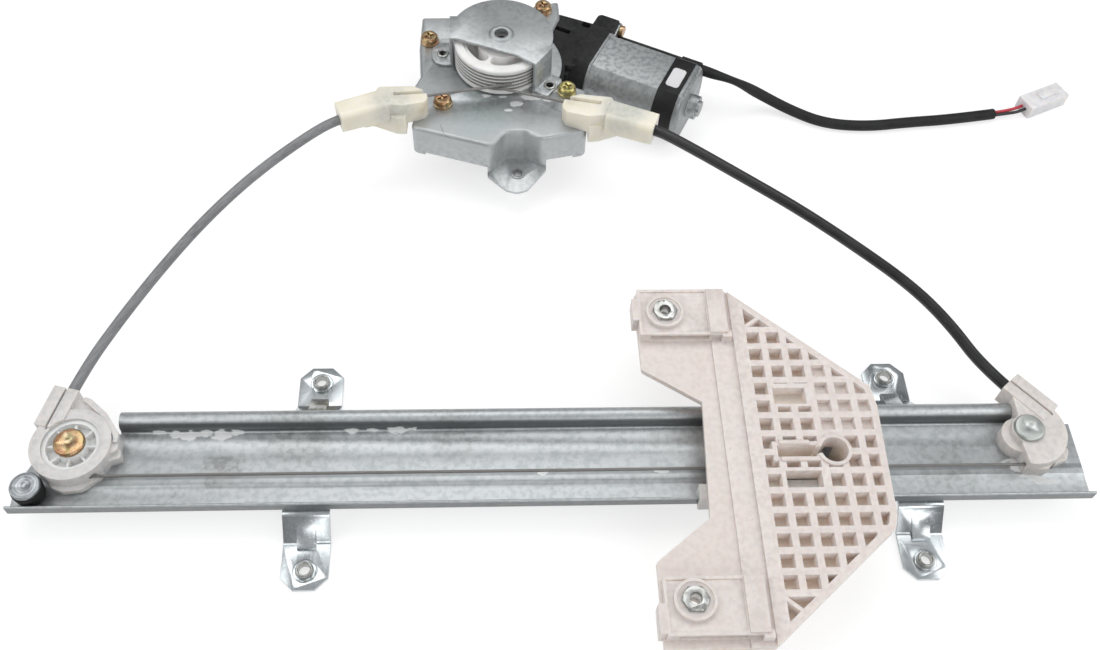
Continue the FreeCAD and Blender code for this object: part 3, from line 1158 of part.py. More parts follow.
def worm_wheel():
    lead_angle = math.atan(WORM_LEAD / (2 * math.pi * WORM_PITCH_RADIUS))
    twist = math.degrees(WHEEL_WIDTH * math.tan(lead_angle) / WHEEL_PITCH_RADIUS)
    mesh_angle = MOTOR_TURN + 90
    rings = []
    for level in (-1, 1):
        pairs = wheel_profile(mesh_angle + level * twist / 2)
        points = flat_points(pairs, WORM_Z + level * WHEEL_WIDTH / 2)
        rings.append(Part.makePolygon(points + [points[0]]))
    wheel = Part.makeLoft(rings, True, True)
    web_top = WHEEL_BOTTOM + WHEEL_WEB
    rim = WHEEL_PITCH_RADIUS - 4.0
    pocket = cylinder(rim, web_top, 40).cut(cylinder(WHEEL_HUB_RADIUS, 0, 40))
    wheel = wheel.cut(pocket)
    hub_bottom = GEARBOX_FLOOR + FLOOR_SHEET + PIECE_GAP
    wheel = wheel.fuse(cylinder(WHEEL_HUB_RADIUS, hub_bottom, WHEEL_BOTTOM + 1))
    wheel = wheel.cut(cylinder(AXLE_RADIUS + RUNNING_FIT, 0, 40))
    wheel.translate(Vector(DRUM_X, DRUM_Y, 0))
    return wheel


def rubber_damper():
    # Sits in the wheel's pocket and cushions the drive
    inner = WHEEL_HUB_RADIUS + DAMPER_GAP
    outer = WHEEL_PITCH_RADIUS - 4.0 - DAMPER_GAP
    bottom = WHEEL_BOTTOM + WHEEL_WEB
    top = WORM_Z + WHEEL_WIDTH / 2
    ring = cylinder(outer, bottom, top).cut(cylinder(inner, bottom - 1, top + 1))
    for turn in (0, 120, 240):
        notch = turned_block((inner - 1, outer + 1), (-2.5, 2.5), (bottom + 2, top + 1), (0, 0), turn)
        ring = ring.cut(notch)
    ring.translate(Vector(DRUM_X, DRUM_Y, 0))
    return ring


def drive_plate():
    # Steel driver: three claws reach into the damper, and its boss carries the drum
    bottom = WORM_Z + WHEEL_WIDTH / 2
    outer = WHEEL_PITCH_RADIUS - 5.0
    plate = cylinder(outer, bottom, bottom + DRIVE_PLATE_SHEET)
    plate = plate.fuse(cylinder(DRIVE_BOSS_RADIUS, bottom, DRUM_BOTTOM))
    inner = WHEEL_HUB_RADIUS + DAMPER_GAP + 1.0
    claw_bottom = WHEEL_BOTTOM + WHEEL_WEB + 2.2
    for turn in (0, 120, 240):
        plate = plate.fuse(turned_block((inner, outer - 1), (-2.2, 2.2), (claw_bottom, bottom + 0.5),
                                        (0, 0), turn))
    plate = plate.cut(cylinder(AXLE_RADIUS + RUNNING_FIT, 0, 60))
    plate.translate(Vector(DRUM_X, DRUM_Y, 0))
    return plate.removeSplitter()


def worm():
    root = WORM_PITCH_RADIUS - MODULE * 1.2
    tip = WORM_PITCH_RADIUS + MODULE * 0.85
    tooth = math.pi * MODULE / 2 - TOOTH_BACKLASH / 2
    slope = math.tan(math.radians(20))
    embed = 0.25
    root_half = tooth / 2 + (WORM_PITCH_RADIUS - root + embed) * slope
    tip_half = tooth / 2 - (tip - WORM_PITCH_RADIUS) * slope
    turns = 6
    helix = Part.makeHelix(WORM_LEAD, turns * WORM_LEAD, root - embed)
    corners = [Vector(root - embed, 0, -root_half), Vector(tip, 0, -tip_half), Vector(tip, 0, tip_half),
               Vector(root - embed, 0, root_half)]
    profile = Part.makePolygon(corners + [corners[0]])
    thread = Part.Wire(helix).makePipeShell([profile], True, True)
    thread.translate(Vector(0, 0, -turns / 2 * WORM_LEAD))
    half = WORM_LENGTH / 2
    core = cylinder(root, -half, half)
    body = core.fuse(thread).cut(cylinder(SHAFT_RADIUS, -half - 1, half + 1))
    turn = Matrix(0, 0, 1, 0, -1, 0, 0, 0, 0, -1, 0, WORM_Z, 0, 0, 0, 1)
    body.transformShape(turn)
    return on_motor(body)


def motor_shaft():
    end = CAN_END + CAN_BOSS_LENGTH - 1.8
    return on_motor(along_shaft(SHAFT_RADIUS, SHAFT_START, end))


# Motor

def can_outline(grow):
    # Round can with two flats, as a face across the shaft at s = 0
    radius = CAN_RADIUS + grow
    half = CAN_FLATS / 2 + grow
    reach = math.sqrt(radius ** 2 - half ** 2)
    high = [Vector(0, reach, WORM_Z + half), Vector(0, -reach, WORM_Z + half)]
    low = [Vector(0, -reach, WORM_Z - half), Vector(0, reach, WORM_Z - half)]
    edges = [Part.LineSegment(high[0], high[1]).toShape(),
             Part.Arc(high[1], Vector(0, -radius, WORM_Z), low[0]).toShape(),
             Part.LineSegment(low[0], low[1]).toShape(),
             Part.Arc(low[1], Vector(0, radius, WORM_Z), high[0]).toShape()]
    return Part.Face(Part.Wire(edges))


def can_body(grow, start, end):
    solid = can_outline(grow).extrude(Vector(end - start, 0, 0))
    solid.translate(Vector(start, 0, 0))
    return solid


def can_flange():
    # The can's turned-out rim, with an ear for each screw
    end = CAN_START + CAN_FLANGE
    flange = can_body(CAN_FLANGE_GROW, CAN_START, end)
    for t, z in (FAR_SCREW, NEAR_SCREW):
        reach = math.hypot(t, z - WORM_Z)
        ear = block((CAN_START, 0, -CAN_SCREW_RADIUS - 0.8), (end, reach, CAN_SCREW_RADIUS + 0.8))
        ear.rotate(Vector(0, 0, 0), Vector(1, 0, 0), math.degrees(math.atan2(z - WORM_Z, t)))
        ear.translate(Vector(0, 0, WORM_Z))
        flange = flange.fuse(ear).fuse(along_shaft(CAN_SCREW_RADIUS + 0.8, CAN_START, end, t, z))
    for t, z in (FAR_SCREW, NEAR_SCREW):
        flange = flange.cut(along_shaft(CAN_SCREW_SHANK, CAN_START - 1, end + 1, t, z))
    return flange.cut(along_shaft(LEAD_RADIUS + 0.1, CAN_START - 1, end + 1, LEAD_T, LEAD_Z))


def motor_can():
    outer = can_body(0, CAN_START, CAN_END)
    end_edges = [edge for edge in outer.Edges if abs(edge.BoundBox.XMin - CAN_END) < 0.01]
    outer = outer.makeFillet(2.6, end_edges)
    inner = can_body(-CAN_SHEET, CAN_START - 1, CAN_END - CAN_SHEET)
    boss_end = CAN_END + CAN_BOSS_LENGTH
    outer = outer.fuse(can_flange())
    outer = outer.fuse(along_shaft(CAN_BOSS_RADIUS, CAN_END - 1, boss_end - 1.6))
    outer = outer.fuse(along_shaft(CAN_BOSS_RADIUS - 2.2, CAN_END, boss_end))
    can = outer.cut(inner).cut(along_shaft(CAN_BOSS_RADIUS - COVER_SHEET, CAN_END - 2, boss_end - 3.4))
    can = can.cut(along_shaft(SHAFT_RADIUS + 1.0, CAN_END - 2, boss_end - 1.2))
    return on_motor(can.removeSplitter())


def magnets():
    arcs = []
    gap = 6.5
    for sign in (-1, 1):
        ring = along_shaft(CAN_RADIUS - CAN_SHEET - RUNNING_FIT, CORE_START - 2,
                           CORE_START + CORE_LENGTH + 2)
        ring = ring.cut(along_shaft(CORE_RADIUS + MAGNET_GAP, 0, 100))
        low, high = (gap, 40) if sign > 0 else (-40, -gap)
        height = CAN_FLATS / 2 - CAN_SHEET - 1.2
        side = block((0, low, WORM_Z - height), (120, high, WORM_Z + height))
        arcs.append(on_motor(ring.common(side)))
    return Part.makeCompound(arcs)


def armature_core():
    core = along_shaft(CORE_RADIUS, CORE_START, CORE_START + CORE_LENGTH)
    for i in range(CORE_SLOTS):
        slot = block((0, -1.1, CORE_RADIUS - 6.0), (120, 1.1, CORE_RADIUS + 1))
        slot.rotate(Vector(0, 0, 0), Vector(1, 0, 0), i * 360 / CORE_SLOTS)
        slot.translate(Vector(0, 0, WORM_Z))
        core = core.cut(slot)
    return on_motor(core.cut(along_shaft(SHAFT_RADIUS, 0, 120)))


def armature_windings():
    # The end turns on each face of the core
    turns = []
    for start in (CORE_START - WINDING_LENGTH, CORE_START + CORE_LENGTH):
        ring = along_shaft(CORE_RADIUS - 1.8, start, start + WINDING_LENGTH)
        ring = ring.cut(along_shaft(SHAFT_RADIUS + 1.5, 0, 120))
        turns.append(on_motor(ring))
    return Part.makeCompound(turns)


def commutator():
    end = CORE_START - WINDING_LENGTH - 0.7
    body = along_shaft(COMMUTATOR_RADIUS, end - COMMUTATOR_LENGTH, end)
    return on_motor(body.cut(along_shaft(SHAFT_RADIUS, 0, 120)))


def brush_holder():
    plate = can_body(-CAN_SHEET - RUNNING_FIT, CAN_START, CAN_START + 2.0)
    plate = plate.cut(along_shaft(COMMUTATOR_RADIUS + 1.0, 0, 120))
    return on_motor(plate)


def brushes():
    start = CAN_START + 2.0
    blocks = []
    for sign in (-1, 1):
        low = COMMUTATOR_RADIUS + RUNNING_FIT
        span = (low, low + 8.0) if sign > 0 else (-low - 8.0, -low)
        blocks.append(on_motor(block((start, span[0], WORM_Z - 2.2), (start + 5.5, span[1], WORM_Z + 2.2))))
    return Part.makeCompound(blocks)


def shaft_bushes():
    # Sintered bushes at the worm's tip, in the gearbox flange and in the can's end
    places = ((SHAFT_START, SHAFT_START + BUSH_LENGTH, BUSH_RADIUS),
              (FLANGE_START - 2.0, FLANGE_START - 2.0 + BUSH_LENGTH, BUSH_RADIUS),
              (CAN_END - CAN_SHEET + 0.2, CAN_END + 2.6, CAN_BOSS_RADIUS - COVER_SHEET))
    rings = []
    for start, end, radius in places:
        bore = along_shaft(SHAFT_RADIUS + RUNNING_FIT, start - 1, end + 1)
        rings.append(on_motor(along_shaft(radius, start, end).cut(bore)))
    return Part.makeCompound(rings)


def can_band():
    band = can_body(BAND_THICKNESS, BAND_START, BAND_START + BAND_LENGTH)
    band = band.cut(can_body(0, BAND_START - 1, BAND_START + BAND_LENGTH + 1))
    room = LEAD_RADIUS + LEAD_ROOM
    lead_way = along_shaft(room, 0, 120, LEAD_T, LEAD_Z)
    over = along_shaft(room + BAND_THICKNESS, BAND_START, BAND_START + BAND_LENGTH, LEAD_T, LEAD_Z)
    band = band.fuse(over.cut(can_body(0, 0, 120))).cut(lead_way)
    return on_motor(max(band.Solids, key=lambda solid: solid.Volume))


def band_label():
    top = WORM_Z + CAN_FLATS / 2 + BAND_THICKNESS
    end = BAND_START + BAND_LENGTH
    return on_motor(block((BAND_START + 2.2, -9.0, top), (end - 2.2, 5.5, top + LABEL_THICKNESS)))


def can_screws():
    screws = []
    for t, z in (FAR_SCREW, NEAR_SCREW):
        seat = CAN_START + CAN_FLANGE
        head = along_shaft(CAN_SCREW_RADIUS, seat, seat + 2.4, t, z)
        shank = along_shaft(CAN_SCREW_SHANK, FLANGE_START + 1.0, seat + 1.0, t, z)
        screws.append(on_motor(head.fuse(shank)))
    return Part.makeCompound(screws)


# Gearbox

def deck_pockets():
    # Moulding pockets in the flat top beside the worm
    slots = prism([(12.0, 4.5), (12.0, 7.5), (22.0, 7.5), (22.0, 4.5)], GEARBOX_TOP - 4.0, 60, 0.8)
    hole = prism([(25.0, 14.0), (25.0, 17.4), (30.0, 17.4), (30.0, 14.0)], GEARBOX_TOP - 5.0, 60, 1.2)
    return slots.fuse(hole)


def gearbox_housing():
    cup_outer = CUP_INNER + CUP_WALL
    cup = cylinder(cup_outer, GEARBOX_FLOOR, MOTOR_PLATE_UNDER, 0, -CENTRE_DISTANCE)
    nose = along_shaft(WORM_HOUSING_HALF, -26.0, FLANGE_START)
    bridge = block((-26.0, -22.0, GEARBOX_FLOOR - 2.0), (FLANGE_START, 12.5, 30.5))
    deck = [(4.0, -20.0), (4.0, 13.0), (11.0, 16.5), (32.0, 18.4), (CAN_START, 18.4), (CAN_START, -12.4),
            (32.0, -18.6)]
    bridge = bridge.fuse(prism(deck, 20.0, GEARBOX_TOP, [0, 3.0, 3.0, 0, 0, 0, 5.0]))
    flange = can_body(CAN_FLANGE_GROW, FLANGE_START, CAN_START)
    back = FLANGE_START - 3.0
    ear_outline = [(back, 12.0), (back, FLANGE_HIGH_T), (CAN_START, FLANGE_HIGH_T), (CAN_START, 12.0)]
    ear = prism(ear_outline, 12.0, GEARBOX_TOP - 1.0, [0, 2.6, 0.6, 0])
    ear = ear.fuse(along_shaft(CAN_SCREW_RADIUS + 1.0, FLANGE_START + 3.0, CAN_START, *FAR_SCREW))
    low_ear = along_shaft(CAN_SCREW_RADIUS + 1.8, FLANGE_START, CAN_START, *NEAR_SCREW)
    reach = CAN_SCREW_RADIUS + 1.8
    low_ear = low_ear.fuse(block((FLANGE_START, NEAR_SCREW[0], NEAR_SCREW[1] - reach),
                                 (CAN_START, 0, NEAR_SCREW[1] + reach)))
    outer = cup.fuse(bridge).fuse(nose).fuse(flange).fuse(ear).fuse(low_ear)
    outer = outer.cut(deck_pockets())
    chamber = cylinder(CUP_INNER, GEARBOX_FLOOR + FLOOR_SHEET, 60, 0, -CENTRE_DISTANCE)
    tunnel = along_shaft(WORM_CHAMBER_RADIUS, -14.0, FLANGE_START - 2.0)
    passage = along_shaft(SHAFT_RADIUS + 0.6, SHAFT_START - 1.0, CAN_START + 1)
    body = outer.cut(chamber).cut(tunnel).cut(passage)
    body = body.cut(along_shaft(BUSH_RADIUS, SHAFT_START, SHAFT_START + BUSH_LENGTH))
    body = body.cut(along_shaft(BUSH_RADIUS, FLANGE_START - 2.0, CAN_START + 1))
    body = body.cut(cylinder(AXLE_RADIUS, 0, 60, 0, -CENTRE_DISTANCE))
    for t, z in (FAR_SCREW, NEAR_SCREW):
        body = body.cut(along_shaft(CAN_SCREW_SHANK, FLANGE_START + 1.0, CAN_START + 1.0, t, z))
    body = on_motor(body).cut(cord_tube(lead_points(), LEAD_RADIUS))
    for x, y in SCREW_PLACES:
        post = cylinder(PLATE_SCREW_SHANK + 2.2, 24.0, MOTOR_PLATE_UNDER, x, y)
        reach = Vector(DRUM_X - x, DRUM_Y - y, 0)
        angle = math.degrees(math.atan2(reach.y, reach.x))
        arm = turned_block((0, reach.Length - CUP_INNER - 0.5), (-2.0, 2.0), (25.0, MOTOR_PLATE_UNDER),
                           (x, y), angle)
        body = body.fuse(post).fuse(arm)
    for x, y in SCREW_PLACES:
        body = body.cut(cylinder(PLATE_SCREW_SHANK, MOTOR_PLATE_TOP - PLATE_SCREW_LENGTH, 60, x, y))
    for x, y in cover_foot_holes():
        body = body.cut(cylinder(EYELET_NECK + 1.2, MOTOR_PLATE_UNDER - 2.0, 60, x, y))
    return body.removeSplitter()


# Conduits and lead

def left_conduit_points():
    start = [left_exit(LEFT_CABLE_END), left_exit(LEFT_ROUTE_START)]
    return start + [Vector(*place) for place in LEFT_CONDUIT_ROUTE]


def right_conduit_points():
    start = [right_exit(RIGHT_CABLE_END), right_exit(RIGHT_ROUTE_START)]
    return start + [Vector(*place) for place in RIGHT_CONDUIT_ROUTE]


def left_conduit():
    return cord("left_conduit", left_conduit_points(), LEFT_CONDUIT_RADIUS)


def right_conduit():
    return cord("right_conduit", right_conduit_points(), RIGHT_CONDUIT_RADIUS)


def lead_points():
    along_can = [motor_point(CAN_START - LEAD_ENTRY, LEAD_T, LEAD_Z),
                 motor_point(70.0, LEAD_T + 0.3, LEAD_Z + 0.2),
                 motor_point(CAN_END + 1.0, LEAD_T, LEAD_Z)]
    return along_can + [Vector(*place) for place in LEAD_ROUTE]


def lead_sleeve():
    return cord("lead_sleeve", lead_points(), LEAD_RADIUS)


def wire_points(side):
    end = Vector(*LEAD_ROUTE[-1])
    heading = end - Vector(*LEAD_ROUTE[-2])
    heading = heading.normalize()
    across = Vector(-heading.y, heading.x, 0).normalize()
    rear = Vector(CONNECTOR_REAR[0], CONNECTOR_REAR[1], TERMINAL_HEIGHT)
    out = direction(CONNECTOR_TURN)
    plug_side = direction(CONNECTOR_TURN + 90)
    target = rear + plug_side * (side * WIRE_SPREAD / 2)
    start = end + across * (side * (WIRE_RADIUS + 0.15))
    return [start, start + heading * 6.5, target - out * 6.0, target]


def red_wire():
    return cord("red_wire", wire_points(1), WIRE_RADIUS)


def black_wire():
    return cord("black_wire", wire_points(-1), WIRE_RADIUS)


def connector_housing():
    half = CONNECTOR_WIDTH / 2
    shell = block((0, -half, 0), (CONNECTOR_LENGTH, half, CONNECTOR_HEIGHT))
    shell = shell.makeFillet(0.8, [e for e in shell.Edges if e.BoundBox.XLength > CONNECTOR_LENGTH - 1])
    shell = shell.fuse(block((CONNECTOR_LENGTH * 0.35, -2.2, CONNECTOR_HEIGHT - 0.5),
                             (CONNECTOR_LENGTH * 0.8, 2.2, CONNECTOR_HEIGHT + 1.2)))
    mouth = block((CONNECTOR_LENGTH - 9.0, -half + 1.2, 1.2),
                  (CONNECTOR_LENGTH + 1, half - 1.2, CONNECTOR_HEIGHT - 1.2))
    shell = shell.cut(mouth)
    shell.rotate(Vector(0, 0, 0), UP, CONNECTOR_TURN)
    shell.translate(Vector(CONNECTOR_REAR[0], CONNECTOR_REAR[1], 0))
    return shell


def connector_terminals():
    blades = []
    for side in (-1, 1):
        y = side * WIRE_SPREAD
        blade = block((CONNECTOR_LENGTH - 9.0, y - 1.1, TERMINAL_HEIGHT - 0.4),
                      (CONNECTOR_LENGTH - 2.0, y + 1.1, TERMINAL_HEIGHT + 0.4))
        blade.rotate(Vector(0, 0, 0), UP, CONNECTOR_TURN)
        blade.translate(Vector(CONNECTOR_REAR[0], CONNECTOR_REAR[1], 0))
        blades.append(blade)
    return Part.makeCompound(blades)


PIECES = {
    "guide_rail": guide_rail,
    "left_bracket": lambda: rail_bracket(-BRACKET_SPACING / 2),
    "right_bracket": lambda: rail_bracket(BRACKET_SPACING / 2),
    "bracket_nuts": bracket_nuts,
    "bumper_rubber": bumper_rubber,
    "bumper_rivet": bumper_rivet,
    "left_pulley_housing": left_pulley_housing,
    "left_pulley": left_pulley,
    "left_pulley_rivet": left_pulley_rivet,
    "right_guide_housing": right_guide_housing,
    "right_guide_rivet": right_guide_rivet,
    "rail_cable": rail_cable,
    "lift_plate": lift_plate,
    "lift_nuts": lift_nuts,
    "cable_nipples": cable_nipples,
    "upper_shoe": upper_shoe,
    "lower_shoe": lower_shoe,
    "base_plate": base_plate,
    "plate_screws": plate_screws,
    "drum_cover": drum_cover,
    "cover_eyelets": cover_eyelets,
    "drum": drum,
    "drum_cable_wraps": drum_cable_wraps,
    "drum_axle": drum_axle,
    "left_drum_cable": left_drum_cable,
    "right_drum_cable": right_drum_cable,
    "left_cable_guide": left_cable_guide,
    "right_cable_guide": right_cable_guide,
    "gearbox_housing": gearbox_housing,
    "worm_wheel": worm_wheel,
    "rubber_damper": rubber_damper,
    "drive_plate": drive_plate,
    "worm": worm,
    "motor_shaft": motor_shaft,
    "armature_core": armature_core,
    "armature_windings": armature_windings,
    "commutator": commutator,
    "brush_holder": brush_holder,
    "brushes": brushes,
    "magnets": magnets,
    "shaft_bushes": shaft_bushes,
    "motor_can": motor_can,
    "can_screws": can_screws,
    "can_band": can_band,
    "band_label": band_label,
    "left_conduit": left_conduit,
    "right_conduit": right_conduit,
    "lead_sleeve": lead_sleeve,
    "red_wire": red_wire,
    "black_wire": black_wire,
    "connector_housing": connector_housing,
    "connector_terminals": connector_terminals,
}


def main():
    os.makedirs("parts", exist_ok=True)
    for name, make in PIECES.items():
        shape = make()
        if not shape.isValid():
            print(name, "is not a valid shape")
        shape.exportStep("parts/" + name + ".step")


main()
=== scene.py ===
import json
import math
import bpy
import bmesh
from mathutils import Matrix, Vector

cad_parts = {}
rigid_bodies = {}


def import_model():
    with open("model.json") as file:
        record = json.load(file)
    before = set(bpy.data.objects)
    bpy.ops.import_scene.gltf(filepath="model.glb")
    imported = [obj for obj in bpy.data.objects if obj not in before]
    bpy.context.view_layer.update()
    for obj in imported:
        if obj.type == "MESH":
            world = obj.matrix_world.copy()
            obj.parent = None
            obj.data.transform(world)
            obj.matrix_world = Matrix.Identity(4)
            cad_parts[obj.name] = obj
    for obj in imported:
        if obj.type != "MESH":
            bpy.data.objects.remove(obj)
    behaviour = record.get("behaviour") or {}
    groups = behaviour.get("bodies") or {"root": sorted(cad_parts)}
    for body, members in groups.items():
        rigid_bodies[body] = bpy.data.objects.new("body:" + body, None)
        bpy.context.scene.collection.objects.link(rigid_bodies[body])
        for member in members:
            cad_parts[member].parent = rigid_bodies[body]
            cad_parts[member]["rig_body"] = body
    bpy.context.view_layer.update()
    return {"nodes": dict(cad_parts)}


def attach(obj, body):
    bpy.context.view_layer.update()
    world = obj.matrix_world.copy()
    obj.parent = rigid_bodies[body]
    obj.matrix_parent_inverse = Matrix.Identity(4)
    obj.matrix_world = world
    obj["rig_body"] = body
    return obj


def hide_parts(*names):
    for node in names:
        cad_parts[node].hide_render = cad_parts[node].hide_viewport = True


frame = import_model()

scene = bpy.context.scene
scene.view_settings.view_transform = "Standard"
nodes = frame["nodes"]


def clearSelection():
    for thing in bpy.context.selected_objects:
        thing.select_set(False)


def pick(thing):
    clearSelection()
    thing.select_set(True)
    bpy.context.view_layer.objects.active = thing


clearSelection()
print("stage: frame loaded,", len(nodes), "nodes")

# Camera, at the photograph's viewing angle

cameraView = {
    "place": (-0.0525, -0.2338, 0.4667), "turn": -0.70, "pitch": 33.949, "sway": -2.3396, "roll": 0.1994,
    "lens": 37.32, "sensor": 36.0, "nearest": 0.01, "farthest": 20.0
}

cameraData = bpy.data.cameras.new("camera")
cameraData.sensor_fit = "HORIZONTAL"
cameraData.sensor_width = cameraView["sensor"]
cameraData.lens = cameraView["lens"]
cameraData.clip_start = cameraView["nearest"]
cameraData.clip_end = cameraView["farthest"]
camera = bpy.data.objects.new("camera", cameraData)
scene.collection.objects.link(camera)
placed = Matrix.Translation(cameraView["place"])
for name, axis in (("turn", "Z"), ("pitch", "X"), ("sway", "Y"), ("roll", "Z")):
    placed = placed @ Matrix.Rotation(math.radians(cameraView[name]), 4, axis)
camera.matrix_world = placed
scene.camera = camera
print("stage: camera set")

# Cords: the routes are the ones that the solids follow, in metres

curveDetail = {"sampled": 32, "drawn": 16, "rounding": 6}


def splineCurve(name, points, fineness):
    curve = bpy.data.curves.new(name, "CURVE")
    curve.dimensions = "3D"
    spline = curve.splines.new("NURBS")
    spline.points.add(len(points) - 1)
    for knot, point in zip(spline.points, points):
        knot.co = (*point, 1.0)
    spline.order_u = 3
    spline.use_endpoint_u = True
    curve.resolution_u = fineness
    thing = bpy.data.objects.new(name, curve)
    scene.collection.objects.link(thing)
    return thing


def lineAlong(points, spacing):
    # Evenly spaced points on the route's own spline
    thing = splineCurve("routeLine", points, curveDetail["sampled"])
    mesh = bpy.data.meshes.new_from_object(thing)
    raw = [v.co.copy() for v in mesh.vertices]
    curve = thing.data
    bpy.data.objects.remove(thing)
    bpy.data.curves.remove(curve)
    bpy.data.meshes.remove(mesh)
    reach = [0.0]
    for a, b in zip(raw, raw[1:]):
        reach.append(reach[-1] + (b - a).length)
    count = max(2, round(reach[-1] / spacing))
    line = []
    index = 0
    for i in range(count + 1):
        wanted = reach[-1] * i / count
        while index < len(raw) - 2 and reach[index + 1] < wanted:
            index += 1
        span = max(reach[index + 1] - reach[index], 1e-9)
        line.append(raw[index].lerp(raw[index + 1], min(1.0, (wanted - reach[index]) / span)))
    return line


def sweptMesh(name, line, section, loop=False):
    # A closed tube on a line; section(i) gives (side, up, crest) for each point of a ring
    upward = Vector((0, 0, 1))
    mesh = bpy.data.meshes.new(name)
    build = bmesh.new()
    crestLayer = build.verts.layers.float.new("crest")
    count = len(line)
    rings = []
    for i, point in enumerate(line):
        before = line[i - 1] if (i > 0 or loop) else point
        after = line[(i + 1) % count] if (i < count - 1 or loop) else point
        ahead = (after - before).normalized()
        side = ahead.cross(upward).normalized()
        up = side.cross(ahead)
        ring = []
        for across, high, crest in section(i):
            corner = build.verts.new(point + side * across + up * high)
            corner[crestLayer] = crest
            ring.append(corner)
        rings.append(ring)
    pairs = list(zip(rings, rings[1:]))
    if loop:
        pairs.append((rings[-1], rings[0]))
    for ringA, ringB in pairs:
        size = len(ringA)
        for j in range(size):
            build.faces.new((ringA[j], ringA[(j + 1) % size], ringB[(j + 1) % size], ringB[j]))
    if not loop:
        build.faces.new(list(reversed(rings[0])))
        build.faces.new(rings[-1])
    bmesh.ops.recalc_face_normals(build, faces=build.faces)
    for face in build.faces:
        face.smooth = True
    build.to_mesh(mesh)
    build.free()
    thing = bpy.data.objects.new(name, mesh)
    scene.collection.objects.link(thing)
    return thing


leftConduitRoute = [
    (-0.24603, 0.01816, 0.0189), (-0.23939, 0.04381, 0.0189), (-0.2272, 0.0686, 0.0220),
    (-0.2099, 0.0958, 0.0282), (-0.1905, 0.1215, 0.0346), (-0.1690, 0.1460, 0.0389),
    (-0.1450, 0.1676, 0.0422), (-0.1315, 0.1770, 0.0434), (-0.1195, 0.1816, 0.0436)
]
rightConduitRoute = [
    (0.19284, 0.02068, 0.0189), (0.17677, 0.03983, 0.0189), (0.1620, 0.0636, 0.0256),
    (0.1460, 0.0818, 0.0303), (0.1220, 0.1020, 0.0346), (0.0970, 0.1219, 0.0382), (0.0710, 0.1404, 0.0410),
    (0.0440, 0.1603, 0.0429), (0.0298, 0.1702, 0.0434), (0.0170, 0.1751, 0.0434)
]
leadRoute = [
    (0.01407, 0.26163, 0.0214), (0.04137, 0.24802, 0.0216), (0.06679, 0.23469, 0.0214),
    (0.0822, 0.2284, 0.0208), (0.0980, 0.2300, 0.0092), (0.1149, 0.2235, 0.0036), (0.1330, 0.2136, 0.0031),
    (0.1570, 0.2112, 0.0032), (0.1810, 0.2146, 0.0031), (0.2060, 0.2168, 0.0032), (0.2322, 0.2213, 0.0031)
]
conduitSizes = {"left radius": 0.0025, "right radius": 0.0028}
leadSizes = {
    "radius": 0.003, "flat from": 0.055, "flat to": 0.092, "flattening": 0.30, "widening": 0.12,
    "tilt": 35.0, "spacing": 0.0015, "sides": 20, "crest": 0.5
}


def roundCord(name, route, radius):
    cordPiece = splineCurve(name, route, curveDetail["drawn"])
    cordPiece.data.bevel_depth = radius
    cordPiece.data.bevel_resolution = curveDetail["rounding"]
    cordPiece.data.use_fill_caps = True
    return cordPiece


leftConduit = roundCord("leftConduit", leftConduitRoute, conduitSizes["left radius"])
rightConduit = roundCord("rightConduit", rightConduitRoute, conduitSizes["right radius"])
leadLine = lineAlong(leadRoute, leadSizes["spacing"])


def leadSection(i):
    # Round, but pressed flatter where the sleeve leaves the motor
    reach = i * leadSizes["spacing"]
    low, high = leadSizes["flat from"], leadSizes["flat to"]
    middle = (low + high) / 2
    closeness = max(0.0, 1 - abs(reach - middle) / ((high - low) / 2))
    press = closeness * closeness * (3 - 2 * closeness)
    wide = leadSizes["radius"] * (1 + leadSizes["widening"] * press)
    tall = leadSizes["radius"] * (1 - leadSizes["flattening"] * press)
    tilt = math.radians(leadSizes["tilt"]) * press
    ring = []
    for j in range(leadSizes["sides"]):
        turn = 2 * math.pi * j / leadSizes["sides"]
        x = math.cos(turn) * wide
        y = math.sin(turn) * tall
        ring.append((x * math.cos(tilt) - y * math.sin(tilt), x * math.sin(tilt) + y * math.cos(tilt),
                     leadSizes["crest"]))
    return ring


leadSleeve = sweptMesh("leadSleeve", leadLine, leadSection)
print("stage: conduits and lead routed")

# Shared shader groups


def put(tree, kind, inputs=None, **settings):
    node = tree.nodes.new(kind)
    for key, value in settings.items():
        setattr(node, key, value)
    for key, value in (inputs or {}).items():
        if isinstance(value, bpy.types.NodeSocket):
            tree.links.new(value, node.inputs[key])
        else:
            node.inputs[key].default_value = value
    return node


def newGroup(name, inputs, outputs):
    group = bpy.data.node_groups.new(name, "ShaderNodeTree")
    for label, kind, value in inputs:
        socket = group.interface.new_socket(name=label, in_out="INPUT", socket_type="NodeSocket" + kind)
        if kind != "Vector":
            socket.default_value = value
    for label, kind in outputs:
        group.interface.new_socket(name=label, in_out="OUTPUT", socket_type="NodeSocket" + kind)
    return group, put(group, "NodeGroupInput"), put(group, "NodeGroupOutput")


def ramp(tree, value, low, high, toLow=0.0, toHigh=1.0):
    node = put(tree, "ShaderNodeMapRange", {0: value, 1: low, 2: high, 3: toLow, 4: toHigh}, clamp=True,
               interpolation_type="SMOOTHSTEP")
    return node.outputs[0]


def mixColour(tree, factor, first, second, blend="MIX"):
    node = put(tree, "ShaderNodeMix", {0: factor, 6: first, 7: second}, data_type="RGBA", blend_type=blend)
    return node.outputs[2]


def sums(tree, operation, first, second):
    return put(tree, "ShaderNodeMath", {0: first, 1: second}, operation=operation).outputs[0]


def between(tree, share, low, high):
    return ramp(tree, share, 0.0, 1.0, low, high)


def tinted(tree, colour, mask, strength, tint):
    return mixColour(tree, sums(tree, "MULTIPLY", mask, strength), colour, tint)


def noise(tree, place, scale, detail, **more):
    return put(tree, "ShaderNodeTexNoise", {"Vector": place, "Scale": scale, "Detail": detail, **more})


